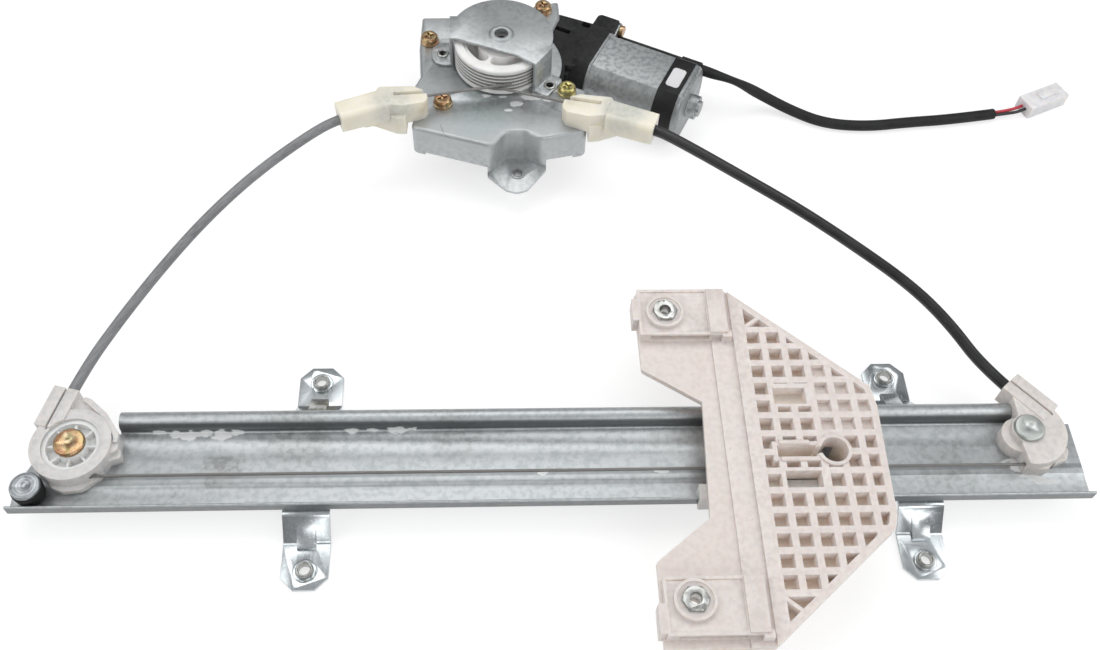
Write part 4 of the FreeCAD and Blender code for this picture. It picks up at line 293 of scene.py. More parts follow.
def vectors(tree, operation, first, second):
    key = 3 if operation == "SCALE" else 1
    return put(tree, "ShaderNodeVectorMath", {0: first, key: second}, operation=operation)


surfaceMarks = {
    "patches": (0.32, 0.68), "grain": (0.3, 0.7), "speck size": 0.45, "speck edge": 0.05,
    "streak edge": 0.03, "break scale": 90.0, "breaks": (0.45, 0.6), "bend scale": 25.0, "sway": 0.02,
    "gate scale": 60.0, "gate": (0.52, 0.62), "rub": (0.35, 0.6), "spot core": 0.35
}


def mottleGroup():
    group, start, end = newGroup(
        "mottle", [("Place", "Vector", None), ("Patch Scale", "Float", 60.0),
                   ("Grain Scale", "Float", 1500.0), ("Speck Level", "Float", 0.66)],
        [("Patches", "Float"), ("Grain", "Float"), ("Specks", "Float")])
    place, grainScale, level = [start.outputs[key] for key in ("Place", "Grain Scale", "Speck Level")]
    patches = noise(group, place, start.outputs["Patch Scale"], 6.0, Roughness=0.62, Distortion=0.5)
    grain = noise(group, place, grainScale, 3.0, Roughness=0.6)
    specks = noise(group, place, sums(group, "MULTIPLY", grainScale, surfaceMarks["speck size"]), 2.0)
    high = sums(group, "ADD", level, surfaceMarks["speck edge"])
    group.links.new(ramp(group, patches.outputs[0], *surfaceMarks["patches"]), end.inputs["Patches"])
    group.links.new(ramp(group, grain.outputs[0], *surfaceMarks["grain"]), end.inputs["Grain"])
    group.links.new(ramp(group, specks.outputs[0], level, high), end.inputs["Specks"])
    return group


def streakGroup():
    # Thin marks that run along X of the place that comes in
    group, start, end = newGroup(
        "streaks", [("Place", "Vector", None), ("Along Scale", "Float", 60.0),
                    ("Across Scale", "Float", 1500.0), ("Level", "Float", 0.62)],
        [("Marks", "Float"), ("Brushed", "Float")])
    place, across, level = [start.outputs[key] for key in ("Place", "Across Scale", "Level")]
    stretch = put(group, "ShaderNodeCombineXYZ", {0: start.outputs["Along Scale"], 1: across, 2: across})
    drawn = vectors(group, "MULTIPLY", place, stretch.outputs[0])
    lines = noise(group, drawn.outputs[0], 1.0, 3.0, Roughness=0.5)
    breaks = noise(group, place, surfaceMarks["break scale"], 2.0)
    marks = ramp(group, lines.outputs[0], level, sums(group, "ADD", level, surfaceMarks["streak edge"]))
    gaps = ramp(group, breaks.outputs[0], *surfaceMarks["breaks"])
    group.links.new(sums(group, "MULTIPLY", marks, gaps), end.inputs["Marks"])
    group.links.new(ramp(group, lines.outputs[0], *surfaceMarks["grain"]), end.inputs["Brushed"])
    return group


def hairlineGroup():
    # A few long fine scratches, as handling leaves
    group, start, end = newGroup("hairlines", [("Place", "Vector", None), ("Scale", "Float", 45.0),
                                               ("Width", "Float", 0.006)], [("Lines", "Float")])
    place = start.outputs["Place"]
    bend = noise(group, place, surfaceMarks["bend scale"], 1.0)
    shift = vectors(group, "SCALE", bend.outputs[1], surfaceMarks["sway"])
    moved = vectors(group, "ADD", place, shift.outputs[0])
    cells = put(group, "ShaderNodeTexVoronoi",
                {"Vector": moved.outputs[0], "Scale": start.outputs["Scale"]}, feature="DISTANCE_TO_EDGE")
    thin = ramp(group, cells.outputs[0], 0.0, start.outputs["Width"], 1.0, 0.0)
    gate = noise(group, place, surfaceMarks["gate scale"], 2.0)
    shown = ramp(group, gate.outputs[0], *surfaceMarks["gate"])
    group.links.new(sums(group, "MULTIPLY", thin, shown), end.inputs["Lines"])
    return group


def edgeWearGroup():
    group, start, end = newGroup("edgeWear", [("Place", "Vector", None), ("Edge", "Float", 0.0),
                                              ("Grain Scale", "Float", 400.0), ("Amount", "Float", 0.6)],
                                 [("Mask", "Float")])
    rub = noise(group, start.outputs["Place"], start.outputs["Grain Scale"], 3.0)
    part = sums(group, "MULTIPLY", start.outputs["Edge"], ramp(group, rub.outputs[0], *surfaceMarks["rub"]))
    group.links.new(sums(group, "MULTIPLY", part, start.outputs["Amount"]), end.inputs["Mask"])
    return group


def raggedSpotGroup():
    # A ragged spot about one place
    group, start, end = newGroup(
        "raggedSpot", [("Place", "Vector", None), ("Centre", "Vector", None), ("Radius", "Float", 0.006),
                  ("Ragged", "Float", 0.004), ("Ragged Scale", "Float", 160.0)], [("Mask", "Float")])
    place = start.outputs["Place"]
    wander = noise(group, place, start.outputs["Ragged Scale"], 4.0)
    centred = vectors(group, "SUBTRACT", wander.outputs[1], (0.5, 0.5, 0.5))
    push = vectors(group, "SCALE", centred.outputs[0], start.outputs["Ragged"])
    moved = vectors(group, "ADD", place, push.outputs[0])
    gap = vectors(group, "DISTANCE", moved.outputs[0], start.outputs["Centre"])
    near = sums(group, "DIVIDE", gap.outputs["Value"], start.outputs["Radius"])
    group.links.new(ramp(group, near, surfaceMarks["spot core"], 1.0, 1.0, 0.0), end.inputs["Mask"])
    return group


groups = {"mottle": mottleGroup(), "streaks": streakGroup(), "hairlines": hairlineGroup(),
          "edgeWear": edgeWearGroup(), "raggedSpot": raggedSpotGroup()}


def useGroup(tree, name, inputs):
    return put(tree, "ShaderNodeGroup", inputs, node_tree=groups[name])


def mottled(tree, place, look):
    return useGroup(tree, "mottle", {"Place": place, "Patch Scale": look["patch scale"],
                                     "Grain Scale": look["grain scale"], "Speck Level": look["specks"]})


def stainedAndShaded(tree, place, colour, stainsAndShades):
    # Tints ragged spots into the colour: stains, and on the motor plate the painted shade round the tab
    # hole.
    for centre, radius, ragged, strength, tint in stainsAndShades:
        spot = useGroup(tree, "raggedSpot", {"Place": place, "Centre": centre, "Radius": radius,
                                        "Ragged": ragged})
        colour = tinted(tree, colour, spot.outputs["Mask"], strength, tint)
    return colour


def startMaterial(name, **plain):
    material = bpy.data.materials.new(name)
    material.use_nodes = True
    tree = material.node_tree
    shader = tree.nodes["Principled BSDF"]
    for key, value in plain.items():
        shader.inputs[key.replace("_", " ")].default_value = value
    place = put(tree, "ShaderNodeTexCoord").outputs["Object"]
    return material, tree, shader, place


def wire(tree, shader, colour, roughness, height, look):
    tree.links.new(colour, shader.inputs["Base Color"])
    tree.links.new(roughness, shader.inputs["Roughness"])
    bump = put(tree, "ShaderNodeBump", {"Height": height, "Strength": look["bump"],
                                        "Distance": look["bump depth"]})
    tree.links.new(bump.outputs[0], shader.inputs["Normal"])


def turned(tree, place, angle):
    node = put(tree, "ShaderNodeMapping", {"Vector": place, "Rotation": (0, 0, math.radians(angle))})
    return node.outputs[0]


def edgeValue(tree):
    return put(tree, "ShaderNodeAttribute", attribute_name="edge").outputs["Fac"]


# Metals


def turnedRings(tree, place, centre, pitch):
    # Concentric marks of a lathe tool, 0 to 1
    flat = vectors(tree, "MULTIPLY", place, (1.0, 1.0, 0.0))
    reach = vectors(tree, "DISTANCE", flat.outputs[0], centre)
    swing = sums(tree, "SINE", sums(tree, "MULTIPLY", reach.outputs["Value"], 2 * math.pi / pitch), 0.0)
    return ramp(tree, swing, -1.0, 1.0)


steelMarks = {
    "streak level": 0.64, "streak roughness": 0.12, "speck roughness": 0.15, "scratch depth": 0.8,
    "ring share": 0.35, "ring height": 2.0
}


def banded(tree, place, colour, bands):
    # Shade in a strip along X, between four limits of Y and four of Z
    for band in bands:
        spots = put(tree, "ShaderNodeSeparateXYZ", {0: place})
        inside = 1.0
        for axis in ("y", "z"):
            start, full, easing, end = band[axis]
            value = spots.outputs[axis.upper()]
            inside = sums(tree, "MULTIPLY", inside, ramp(tree, value, start, full))
            inside = sums(tree, "MULTIPLY", inside, ramp(tree, value, easing, end, 1.0, 0.0))
        colour = tinted(tree, colour, inside, band["share"], band["colour"])
    return colour


def greaseCover(tree, place, grease):
    # The share of a smear at each place, with its spots drawn out along X
    cover = 0.0
    stretch = greaseLook["stretch"]
    smeared = vectors(tree, "MULTIPLY", place, (stretch, 1.0, 1.0))
    for centre, radius, ragged in grease:
        aim = (centre[0] * stretch, centre[1], centre[2])
        spot = useGroup(tree, "raggedSpot", {"Place": smeared.outputs[0], "Centre": aim, "Radius": radius,
                                        "Ragged": ragged, "Ragged Scale": greaseLook["ragged scale"]})
        cover = sums(tree, "MAXIMUM", cover, spot.outputs["Mask"])
    return ramp(tree, cover, greaseLook["thin"], greaseLook["thick"])


def platedSteel(name, look, stainsAndShades=(), grease=()):
    material, tree, shader, place = startMaterial(name, Metallic=look["metallic"])
    mottle = mottled(tree, place, look)
    streaks = useGroup(tree, "streaks", {"Place": turned(tree, place, look["drawn angle"]),
                                         "Along Scale": look["drawn along"],
                                         "Across Scale": look["drawn across"],
                                         "Level": steelMarks["streak level"]})
    hairlines = useGroup(tree, "hairlines", {"Place": place, "Scale": look["scratch scale"]})
    wear = useGroup(tree, "edgeWear", {"Place": place, "Edge": edgeValue(tree), "Amount": look["wear"]})
    patches, grain, specks = [mottle.outputs[key] for key in ("Patches", "Grain", "Specks")]
    lines = hairlines.outputs["Lines"]
    colour = mixColour(tree, patches, look["dark"], look["pale"])
    colour = mixColour(tree, between(tree, grain, 0.0, look["grain"]), colour, look["grain colour"])
    colour = tinted(tree, colour, streaks.outputs["Brushed"], look["brushed"], look["pale"])
    colour = tinted(tree, colour, specks, look["speck strength"], look["speck colour"])
    colour = tinted(tree, colour, lines, look["scratches"], look["scratch colour"])
    colour = stainedAndShaded(tree, place, colour, stainsAndShades)
    colour = mixColour(tree, wear.outputs["Mask"], colour, look["edge colour"])
    rough = between(tree, patches, look["rough low"], look["rough high"])
    for mask, share in ((streaks.outputs["Marks"], steelMarks["streak roughness"]),
                        (specks, steelMarks["speck roughness"])):
        rough = sums(tree, "ADD", rough, sums(tree, "MULTIPLY", mask, share))
    height = sums(tree, "ADD", grain, sums(tree, "MULTIPLY", patches, look["waviness"]))
    height = sums(tree, "SUBTRACT", height, sums(tree, "MULTIPLY", lines, steelMarks["scratch depth"]))
    height = sums(tree, "SUBTRACT", height, specks)
    colour = banded(tree, place, colour, look.get("bands", ()))
    if "turned pitch" in look:
        rings = turnedRings(tree, place, look["turned centre"], look["turned pitch"])
        colour = tinted(tree, colour, rings, steelMarks["ring share"], look["edge colour"])
        height = sums(tree, "ADD", height, sums(tree, "MULTIPLY", rings, steelMarks["ring height"]))
    if grease:
        cover = greaseCover(tree, place, grease)
        colour = mixColour(tree, cover, colour, greaseLook["colour"])
        rough = between(tree, cover, look["rough high"], greaseLook["roughness"])
        tree.links.new(between(tree, cover, look["metallic"], 0.0), shader.inputs["Metallic"])
        height = sums(tree, "ADD", height, sums(tree, "MULTIPLY", cover, greaseLook["rise"]))
    wire(tree, shader, colour, rough, height, look)
    return material


greaseLook = {
    "colour": (0.66, 0.67, 0.67, 1), "roughness": 0.28, "rise": 9.0, "ragged scale": 520.0, "stretch": 0.5,
    "thin": 0.25, "thick": 0.6
}
railLook = {
    "metallic": 0.8, "patch scale": 42.0, "grain scale": 2600.0, "specks": 0.70, "drawn angle": 0.0,
    "drawn along": 25.0, "drawn across": 900.0, "brushed": 0.2, "scratch scale": 38.0, "wear": 0.6,
    "dark": (0.39, 0.415, 0.425, 1), "pale": (0.42, 0.445, 0.455, 1), "grain": 0.3,
    "grain colour": (0.47, 0.495, 0.505, 1), "speck strength": 0.5, "speck colour": (0.17, 0.17, 0.17, 1),
    "scratches": 0.4, "scratch colour": (0.16, 0.16, 0.16, 1), "edge colour": (0.66, 0.68, 0.69, 1),
    "rough low": 0.42, "rough high": 0.45, "waviness": 0.1, "bump": 0.06, "bump depth": 0.0002
}
bracketLook = {
    **railLook, "metallic": 0.95, "dark": (0.46, 0.50, 0.52, 1), "pale": (0.56, 0.60, 0.62, 1),
    "grain": 0.2, "rough low": 0.2, "rough high": 0.26, "drawn angle": 90.0, "bump": 0.03,
    "speck strength": 0.25
}
plateLook = {
    **railLook, "metallic": 0.82, "dark": (0.39, 0.41, 0.415, 1), "pale": (0.44, 0.46, 0.465, 1),
    "grain": 0.25, "rough low": 0.36, "rough high": 0.44, "patch scale": 38.0, "scratch scale": 30.0,
    "scratches": 0.6
}
canLook = {
    **railLook, "metallic": 0.9, "dark": (0.27, 0.285, 0.29, 1), "pale": (0.28, 0.295, 0.30, 1),
    "grain": 0.3, "grain colour": (0.31, 0.325, 0.33, 1), "grain scale": 3000.0, "drawn angle": 27.07,
    "drawn along": 18.0, "drawn across": 1300.0, "brushed": 0.2, "rough low": 0.44, "rough high": 0.47,
    "speck strength": 0.05, "scratches": 0.3, "bump": 0.03
}
nutLook = {
    **bracketLook, "dark": (0.33, 0.33, 0.31, 1), "pale": (0.45, 0.45, 0.42, 1), "rough low": 0.26,
    "rough high": 0.36, "patch scale": 200.0
}
rivetLook = {
    **bracketLook, "dark": (0.42, 0.44, 0.42, 1), "pale": (0.52, 0.54, 0.51, 1), "rough low": 0.34,
    "rough high": 0.44, "patch scale": 110.0
}
capLook = {
    **rivetLook, "dark": (0.145, 0.165, 0.178, 1), "pale": (0.18, 0.20, 0.213, 1),
    "turned centre": (-0.251, -0.0154, 0.0), "turned pitch": 0.0014
}
innerLook = {**bracketLook, "dark": (0.30, 0.30, 0.30, 1), "pale": (0.45, 0.45, 0.45, 1)}

hemShade = {
    "y": (0.0138, 0.0150, 0.0166, 0.0180), "z": (0.0136, 0.0144, 0.0186, 0.0196), "share": 0.8,
    "colour": (0.10, 0.108, 0.112, 1)
}
lipShade = {
    "y": (-0.0300, -0.0290, -0.0232, -0.0226), "z": (0.0, 0.001, 0.0180, 0.0188), "share": 0.7,
    "colour": (0.13, 0.135, 0.138, 1)
}
ropeShade = {
    "y": (-0.0092, -0.0080, -0.0066, -0.0058), "z": (0.010, 0.011, 0.0150, 0.0160), "share": 0.55,
    "colour": (0.14, 0.145, 0.15, 1)
}
railLook["bands"] = [hemShade, lipShade, ropeShade]

railStains = [
    ((-0.140, 0.012, 0.015), 0.020, 0.012, 0.35, (0.20, 0.20, 0.19, 1)),
    ((-0.172, -0.004, 0.015), 0.012, 0.010, 0.45, (0.16, 0.15, 0.14, 1)),
    ((0.150, -0.006, 0.015), 0.018, 0.012, 0.4, (0.22, 0.23, 0.23, 1)),
    ((-0.070, 0.010, 0.015), 0.016, 0.012, 0.3, (0.22, 0.22, 0.22, 1))
]
# Painted shade: the tab hole entry is a dark ring round the threaded hole in the motor plate's tab,
# standing in for the shade inside the hole; the other plate spots are stains.
tabHoleShade = ((-0.0404, 0.1656, 0.0146), 0.0046, 0.0004, 0.9, (0.05, 0.045, 0.04, 1))
plateStainsAndHoleShade = [
    tabHoleShade, ((-0.060, 0.190, 0.036), 0.022, 0.012, 0.35, (0.33, 0.42, 0.42, 1)),
    ((-0.080, 0.222, 0.036), 0.016, 0.010, 0.35, (0.20, 0.21, 0.21, 1)),
    ((-0.030, 0.185, 0.036), 0.014, 0.010, 0.3, (0.24, 0.25, 0.25, 1))
]
bracketStains = [((-0.134, 0.030, 0.006), 0.012, 0.008, 0.5, (0.42, 0.36, 0.22, 1))]

railGrease = [
    ((-0.2018, 0.0150, 0.0137), 0.0022, 0.0034), ((-0.1946, 0.0134, 0.0137), 0.0022, 0.0034),
    ((-0.1884, 0.0128, 0.0137), 0.0030, 0.0046), ((-0.1824, 0.0137, 0.0137), 0.0025, 0.0037),
    ((-0.1743, 0.0126, 0.0137), 0.0032, 0.0049), ((-0.1683, 0.0141, 0.0137), 0.0022, 0.0034),
    ((-0.1171, 0.0149, 0.0137), 0.0020, 0.0031), ((-0.1082, 0.0153, 0.0137), 0.0020, 0.0031),
    ((-0.0966, 0.0152, 0.0137), 0.0030, 0.0046), ((-0.0903, 0.0161, 0.0137), 0.0026, 0.0039),
    ((-0.0100, 0.0172, 0.0137), 0.0026, 0.0039), ((-0.0035, 0.0182, 0.0137), 0.0016, 0.0024),
    ((0.0207, -0.0074, 0.0137), 0.0022, 0.0034), ((-0.0320, -0.0076, 0.0137), 0.0016, 0.0024),
    ((0.1798, -0.0050, 0.0133), 0.0030, 0.0046), ((0.1827, -0.0080, 0.0133), 0.0035, 0.0054),
    ((0.1863, -0.0115, 0.0133), 0.0030, 0.0046), ((0.1902, -0.0141, 0.0133), 0.0026, 0.0039),
    ((0.1955, -0.0147, 0.0133), 0.0022, 0.0034), ((0.1857, -0.0032, 0.0137), 0.0030, 0.0046)
]
plateGrease = [
    ((-0.0567, 0.2013, 0.0360), 0.0020, 0.0031), ((-0.0483, 0.2006, 0.0360), 0.0014, 0.0022),
    ((-0.0410, 0.1955, 0.0360), 0.0026, 0.0039), ((-0.0453, 0.1911, 0.0360), 0.0016, 0.0024),
    ((-0.0350, 0.2072, 0.0360), 0.0040, 0.0061), ((-0.0320, 0.2006, 0.0360), 0.0036, 0.0054),
    ((-0.0275, 0.2117, 0.0360), 0.0026, 0.0039), ((-0.0218, 0.2058, 0.0360), 0.0030, 0.0046),
    ((-0.0236, 0.1985, 0.0360), 0.0018, 0.0027)
]


def chromatedSteel(name, look, tints=()):
    # Yellow passivated zinc, with its rainbow tints
    material, tree, shader, place = startMaterial(name, Metallic=look["metallic"])
    mottle = mottled(tree, place, look)
    tint = noise(tree, place, look["tint scale"], 3.0, Distortion=look["tint warp"])
    wear = useGroup(tree, "edgeWear", {"Place": place, "Edge": edgeValue(tree), "Amount": look["wear"]})
    coppery = ramp(tree, tint.outputs[0], *look["copper range"])
    colour = mixColour(tree, coppery, look["gold"], look["copper"])
    greenish = ramp(tree, mottle.outputs["Patches"], *look["green range"], 0.0, look["green share"])
    colour = mixColour(tree, greenish, colour, look["green"])
    colour = stainedAndShaded(tree, place, colour, tints)
    colour = mixColour(tree, wear.outputs["Mask"], colour, look["edge colour"])
    grain = mottle.outputs["Grain"]
    wire(tree, shader, colour, between(tree, grain, look["rough low"], look["rough high"]), grain, look)
    return material


goldLook = {
    "metallic": 1.0, "patch scale": 220.0, "grain scale": 2500.0, "specks": 0.66, "tint scale": 260.0,
    "gold": (0.43, 0.27, 0.12, 1), "copper": (0.40, 0.20, 0.11, 1), "green": (0.28, 0.30, 0.13, 1),
    "green share": 0.45, "copper range": (0.35, 0.6), "green range": (0.4, 0.9), "tint warp": 1.2,
    "wear": 0.5, "edge colour": (0.80, 0.72, 0.52, 1), "rough low": 0.24, "rough high": 0.34, "bump": 0.1,
    "bump depth": 0.0001
}
brassLook = {**goldLook, "gold": (0.72, 0.52, 0.22, 1), "copper": (0.60, 0.40, 0.18, 1)}
goldTints = [
    ((-0.0140, 0.2045, 0.038), 0.009, 0.0, 0.85, (0.42, 0.40, 0.13, 1)),
    ((-0.2366, 0.0062, 0.0257), 0.0035, 0.002, 0.5, (0.36, 0.40, 0.24, 1))
]


def ropeMaterial(name, look):
    material, tree, shader, place = startMaterial(name, Metallic=look["metallic"])
    crest = put(tree, "ShaderNodeAttribute", attribute_name="crest").outputs["Fac"]
    mottle = mottled(tree, place, look)
    # Painted shade: the valleys between the strands are painted near black, as the shade that falls between
    # them.
    raised = ramp(tree, crest, look["crest from"], 1.0)
    colour = mixColour(tree, raised, look["valley shade"], look["crest"])
    colour = tinted(tree, colour, mottle.outputs["Patches"], look["grime"], look["grime colour"])
    grain = mottle.outputs["Grain"]
    wire(tree, shader, colour, between(tree, grain, look["rough low"], look["rough high"]), grain, look)
    return material


ropeLook = {
    "metallic": 0.7, "patch scale": 120.0, "grain scale": 4000.0, "specks": 0.62,
    # The valley colour is painted shade between the strands.
    "valley shade": (0.010, 0.010, 0.010, 1), "crest": (0.50, 0.49, 0.47, 1), "crest from": 0.5, "grime": 0.15,
    "grime colour": (0.20, 0.18, 0.16, 1), "rough low": 0.3, "rough high": 0.5, "bump": 0.3,
    "bump depth": 0.00008
}

# Mouldings


def moulding(name, look, stainsAndShades=()):
    material, tree, shader, place = startMaterial(
        name, Subsurface_Weight=look["glow"], Subsurface_Scale=look["glow depth"], IOR=look["index"],
        Metallic=0.0, Subsurface_Radius=look["glow colour"], Specular_IOR_Level=look["shine"])
    mottle = mottled(tree, place, look)
    hairlines = useGroup(tree, "hairlines", {"Place": place, "Scale": look["scratch scale"]})
    wear = useGroup(tree, "edgeWear", {"Place": place, "Edge": edgeValue(tree), "Amount": look["wear"]})
    parts = put(tree, "ShaderNodeSeparateXYZ", {0: place})
    patches = mottle.outputs["Patches"]
    colour = mixColour(tree, patches, look["shade"], look["colour"])
    # Painted light and shade by height: below the high z mark the colour moves towards the low colour. The
    # lift plate's cell floors get a lighter, warmer tan for the light in the pockets; the white and housing
    # mouldings darken towards the bottom as painted shade.
    low = ramp(tree, parts.outputs["Z"], look["low z"], look["high z"], look["low share"], 0.0)
    colour = mixColour(tree, low, colour, look["low colour"])
    colour = tinted(tree, colour, mottle.outputs["Specks"], look["speck strength"], look["speck colour"])
    colour = tinted(tree, colour, hairlines.outputs["Lines"], look["scuff"], look["scuff colour"])
    colour = stainedAndShaded(tree, place, colour, stainsAndShades)
    colour = mixColour(tree, wear.outputs["Mask"], colour, look["edge colour"])
    rough = between(tree, patches, look["rough low"], look["rough high"])
    height = sums(tree, "ADD", mottle.outputs["Grain"],
                  sums(tree, "MULTIPLY", patches, look["waviness"]))
    wire(tree, shader, colour, rough, height, look)
    return material


liftLook = {
    "index": 1.52, "specks": 0.74, "scratch scale": 40.0, "shine": 0.5, "glow": 0.4, "glow depth": 0.004,
    "glow colour": (1.0, 0.7, 0.5), "patch scale": 28.0, "grain scale": 900.0, "wear": 0.5,
    # Painted light: below the rib tops the cell floors turn a lighter, warmer tan.
    "shade": (0.665, 0.60, 0.57, 1), "colour": (0.68, 0.62, 0.59, 1), "low z": 0.024, "high z": 0.034,
    "low share": 0.85, "low colour": (0.86, 0.73, 0.60, 1), "speck strength": 0.5,
    "speck colour": (0.30, 0.20, 0.15, 1), "scuff": 0.2, "scuff colour": (0.42, 0.30, 0.28, 1),
    "edge colour": (0.86, 0.80, 0.77, 1), "rough low": 0.34, "rough high": 0.42, "waviness": 0.2,
    "bump": 0.05, "bump depth": 0.0002
}
whiteLook = {
    # Painted shade: darker towards the bottom, below 20 mm.
    **liftLook, "shade": (0.585, 0.572, 0.56, 1), "colour": (0.605, 0.595, 0.585, 1), "low z": 0.012,
    "high z": 0.02, "low share": 0.3, "low colour": (0.45, 0.42, 0.38, 1), "patch scale": 60.0, "glow": 0.35
}
housingLook = {**whiteLook, "shade": (0.60, 0.568, 0.54, 1), "colour": (0.615, 0.585, 0.56, 1)}
drumLook = {
    **whiteLook, "shade": (0.76, 0.76, 0.75, 1), "colour": (0.86, 0.86, 0.85, 1), "low share": 0.0,
    "speck strength": 0.1, "scuff": 0.1, "glow": 0.2
}
creamLook = {
    **liftLook, "shade": (0.80, 0.755, 0.61, 1), "colour": (0.86, 0.82, 0.69, 1), "low share": 0.0,
    "patch scale": 70.0, "glow": 0.6, "glow colour": (0.9, 0.85, 0.6), "speck strength": 0.35,
    "speck colour": (0.35, 0.25, 0.15, 1)
}
gearLook = {**drumLook, "colour": (0.80, 0.78, 0.70, 1)}
blackLook = {
    "index": 1.52, "specks": 0.74, "scratch scale": 40.0, "shine": 0.2, "glow": 0.0, "glow depth": 0.001,
    "glow colour": (1, 1, 1), "patch scale": 80.0, "grain scale": 1500.0, "wear": 0.35,
    "shade": (0.012, 0.012, 0.012, 1), "colour": (0.020, 0.020, 0.021, 1), "low z": 0.0, "high z": 0.01,
    "low share": 0.0, "low colour": (0.02, 0.02, 0.02, 1), "speck strength": 0.25,
    "speck colour": (0.05, 0.05, 0.05, 1), "scuff": 0.15, "scuff colour": (0.07, 0.07, 0.07, 1),
    "edge colour": (0.06, 0.06, 0.06, 1), "rough low": 0.42, "rough high": 0.58, "waviness": 0.5,
    "bump": 0.35, "bump depth": 0.0002
}
rubberLook = {**blackLook, "rough low": 0.6, "rough high": 0.75, "wear": 0.15}
bandLook = {
    **blackLook, "rough low": 0.36, "rough high": 0.46, "bump": 0.1, "wear": 0.1,
    "shade": (0.010, 0.010, 0.010, 1), "colour": (0.016, 0.016, 0.016, 1)
}
labelLook = {
    **whiteLook, "shade": (0.64, 0.63, 0.65, 1), "colour": (0.70, 0.69, 0.71, 1), "low share": 0.0,
    "glow": 0.0, "speck strength": 0.0, "scuff": 0.1, "bump": 0.08, "patch scale": 90.0
}
connectorLook = {
    **whiteLook, "shade": (0.66, 0.66, 0.68, 1), "colour": (0.76, 0.76, 0.77, 1), "low share": 0.0,
    "glow": 0.5, "patch scale": 250.0, "speck strength": 0.15, "rough low": 0.3, "rough high": 0.5
}
ferriteLook = {**blackLook, "colour": (0.04, 0.04, 0.045, 1)}
copperLook = {**innerLook, "dark": (0.45, 0.20, 0.10, 1), "pale": (0.65, 0.32, 0.18, 1)}
sinteredLook = {**innerLook, "dark": (0.34, 0.22, 0.10, 1), "pale": (0.50, 0.34, 0.17, 1)}

creamStains = [
    ((-0.104, 0.183, 0.048), 0.015, 0.006, 0.75, (0.55, 0.56, 0.50, 1)),
    ((-0.089, 0.187, 0.043), 0.006, 0.004, 0.45, (0.50, 0.40, 0.24, 1)),
    ((0.014, 0.180, 0.048), 0.017, 0.006, 0.8, (0.52, 0.54, 0.49, 1)),
    ((-0.012, 0.187, 0.044), 0.005, 0.003, 0.5, (0.36, 0.28, 0.16, 1))
]
housingStains = [
    ((0.180, 0.020, 0.030), 0.008, 0.006, 0.35, (0.40, 0.34, 0.32, 1)),
    ((0.198, 0.006, 0.030), 0.006, 0.005, 0.25, (0.62, 0.44, 0.34, 1))
]
pulleyStains = [
    ((-0.222, 0.012, 0.028), 0.004, 0.003, 0.35, (0.30, 0.25, 0.22, 1)),
    ((-0.247, -0.008, 0.024), 0.006, 0.005, 0.35, (0.42, 0.40, 0.38, 1))
]


def cordMaterial(name, look):
    # A drawn plastic skin: long faint ribs and a soft sheen
    material, tree, shader, place = startMaterial(name, IOR=look["index"], Metallic=0.0,
                                                  Specular_IOR_Level=look["shine"])
    mottle = mottled(tree, place, look)
    streaks = useGroup(tree, "streaks", {"Place": turned(tree, place, look["angle"]),
                                         "Along Scale": look["along scale"],
                                         "Across Scale": look["rib scale"], "Level": 0.6})
    patches = mottle.outputs["Patches"]
    ribs = streaks.outputs["Brushed"]
    colour = mixColour(tree, patches, look["shade"], look["colour"])
    colour = tinted(tree, colour, ribs, look["rib"], look["rib colour"])
    colour = tinted(tree, colour, mottle.outputs["Specks"], look["dust"], look["dust colour"])
    rough = between(tree, patches, look["rough low"], look["rough high"])
    wire(tree, shader, colour, rough, sums(tree, "ADD", mottle.outputs["Grain"], ribs), look)
    return material


greyConduitLook = {
    "index": 1.5, "specks": 0.7, "along scale": 30.0, "dust": 0.4, "bump depth": 0.0002, "shine": 0.5,
    "patch scale": 60.0, "grain scale": 1500.0, "angle": -52.0, "rib scale": 1400.0, "rib": 0.25,
    "shade": (0.165, 0.165, 0.173, 1), "colour": (0.215, 0.217, 0.227, 1),
    "rib colour": (0.40, 0.42, 0.43, 1), "dust colour": (0.45, 0.45, 0.45, 1), "rough low": 0.32,
    "rough high": 0.45, "bump": 0.15
}
blackConduitLook = {
    **greyConduitLook, "angle": 42.0, "shade": (0.008, 0.008, 0.008, 1), "colour": (0.016, 0.016, 0.016, 1),
    "rib": 0.3, "rib colour": (0.030, 0.030, 0.030, 1), "dust colour": (0.06, 0.06, 0.06, 1),
    "rough low": 0.28, "rough high": 0.4
}
leadLook = {
    **blackConduitLook, "shine": 0.25, "angle": 0.0, "rib scale": 900.0, "rough low": 0.5,
    "rough high": 0.62, "colour": (0.022, 0.022, 0.022, 1), "bump": 0.25
}
redWireLook = {
    **greyConduitLook, "angle": -24.0, "shade": (0.40, 0.02, 0.035, 1), "colour": (0.52, 0.03, 0.05, 1),
    "rib": 0.15, "rib colour": (0.6, 0.12, 0.14, 1), "dust colour": (0.5, 0.2, 0.2, 1), "rough low": 0.3,
    "rough high": 0.4, "bump": 0.05
}
blackWireLook = {
    **redWireLook, "shade": (0.012, 0.012, 0.014, 1), "colour": (0.02, 0.02, 0.024, 1),
    "rib colour": (0.05, 0.05, 0.06, 1), "dust colour": (0.06, 0.06, 0.06, 1)
}


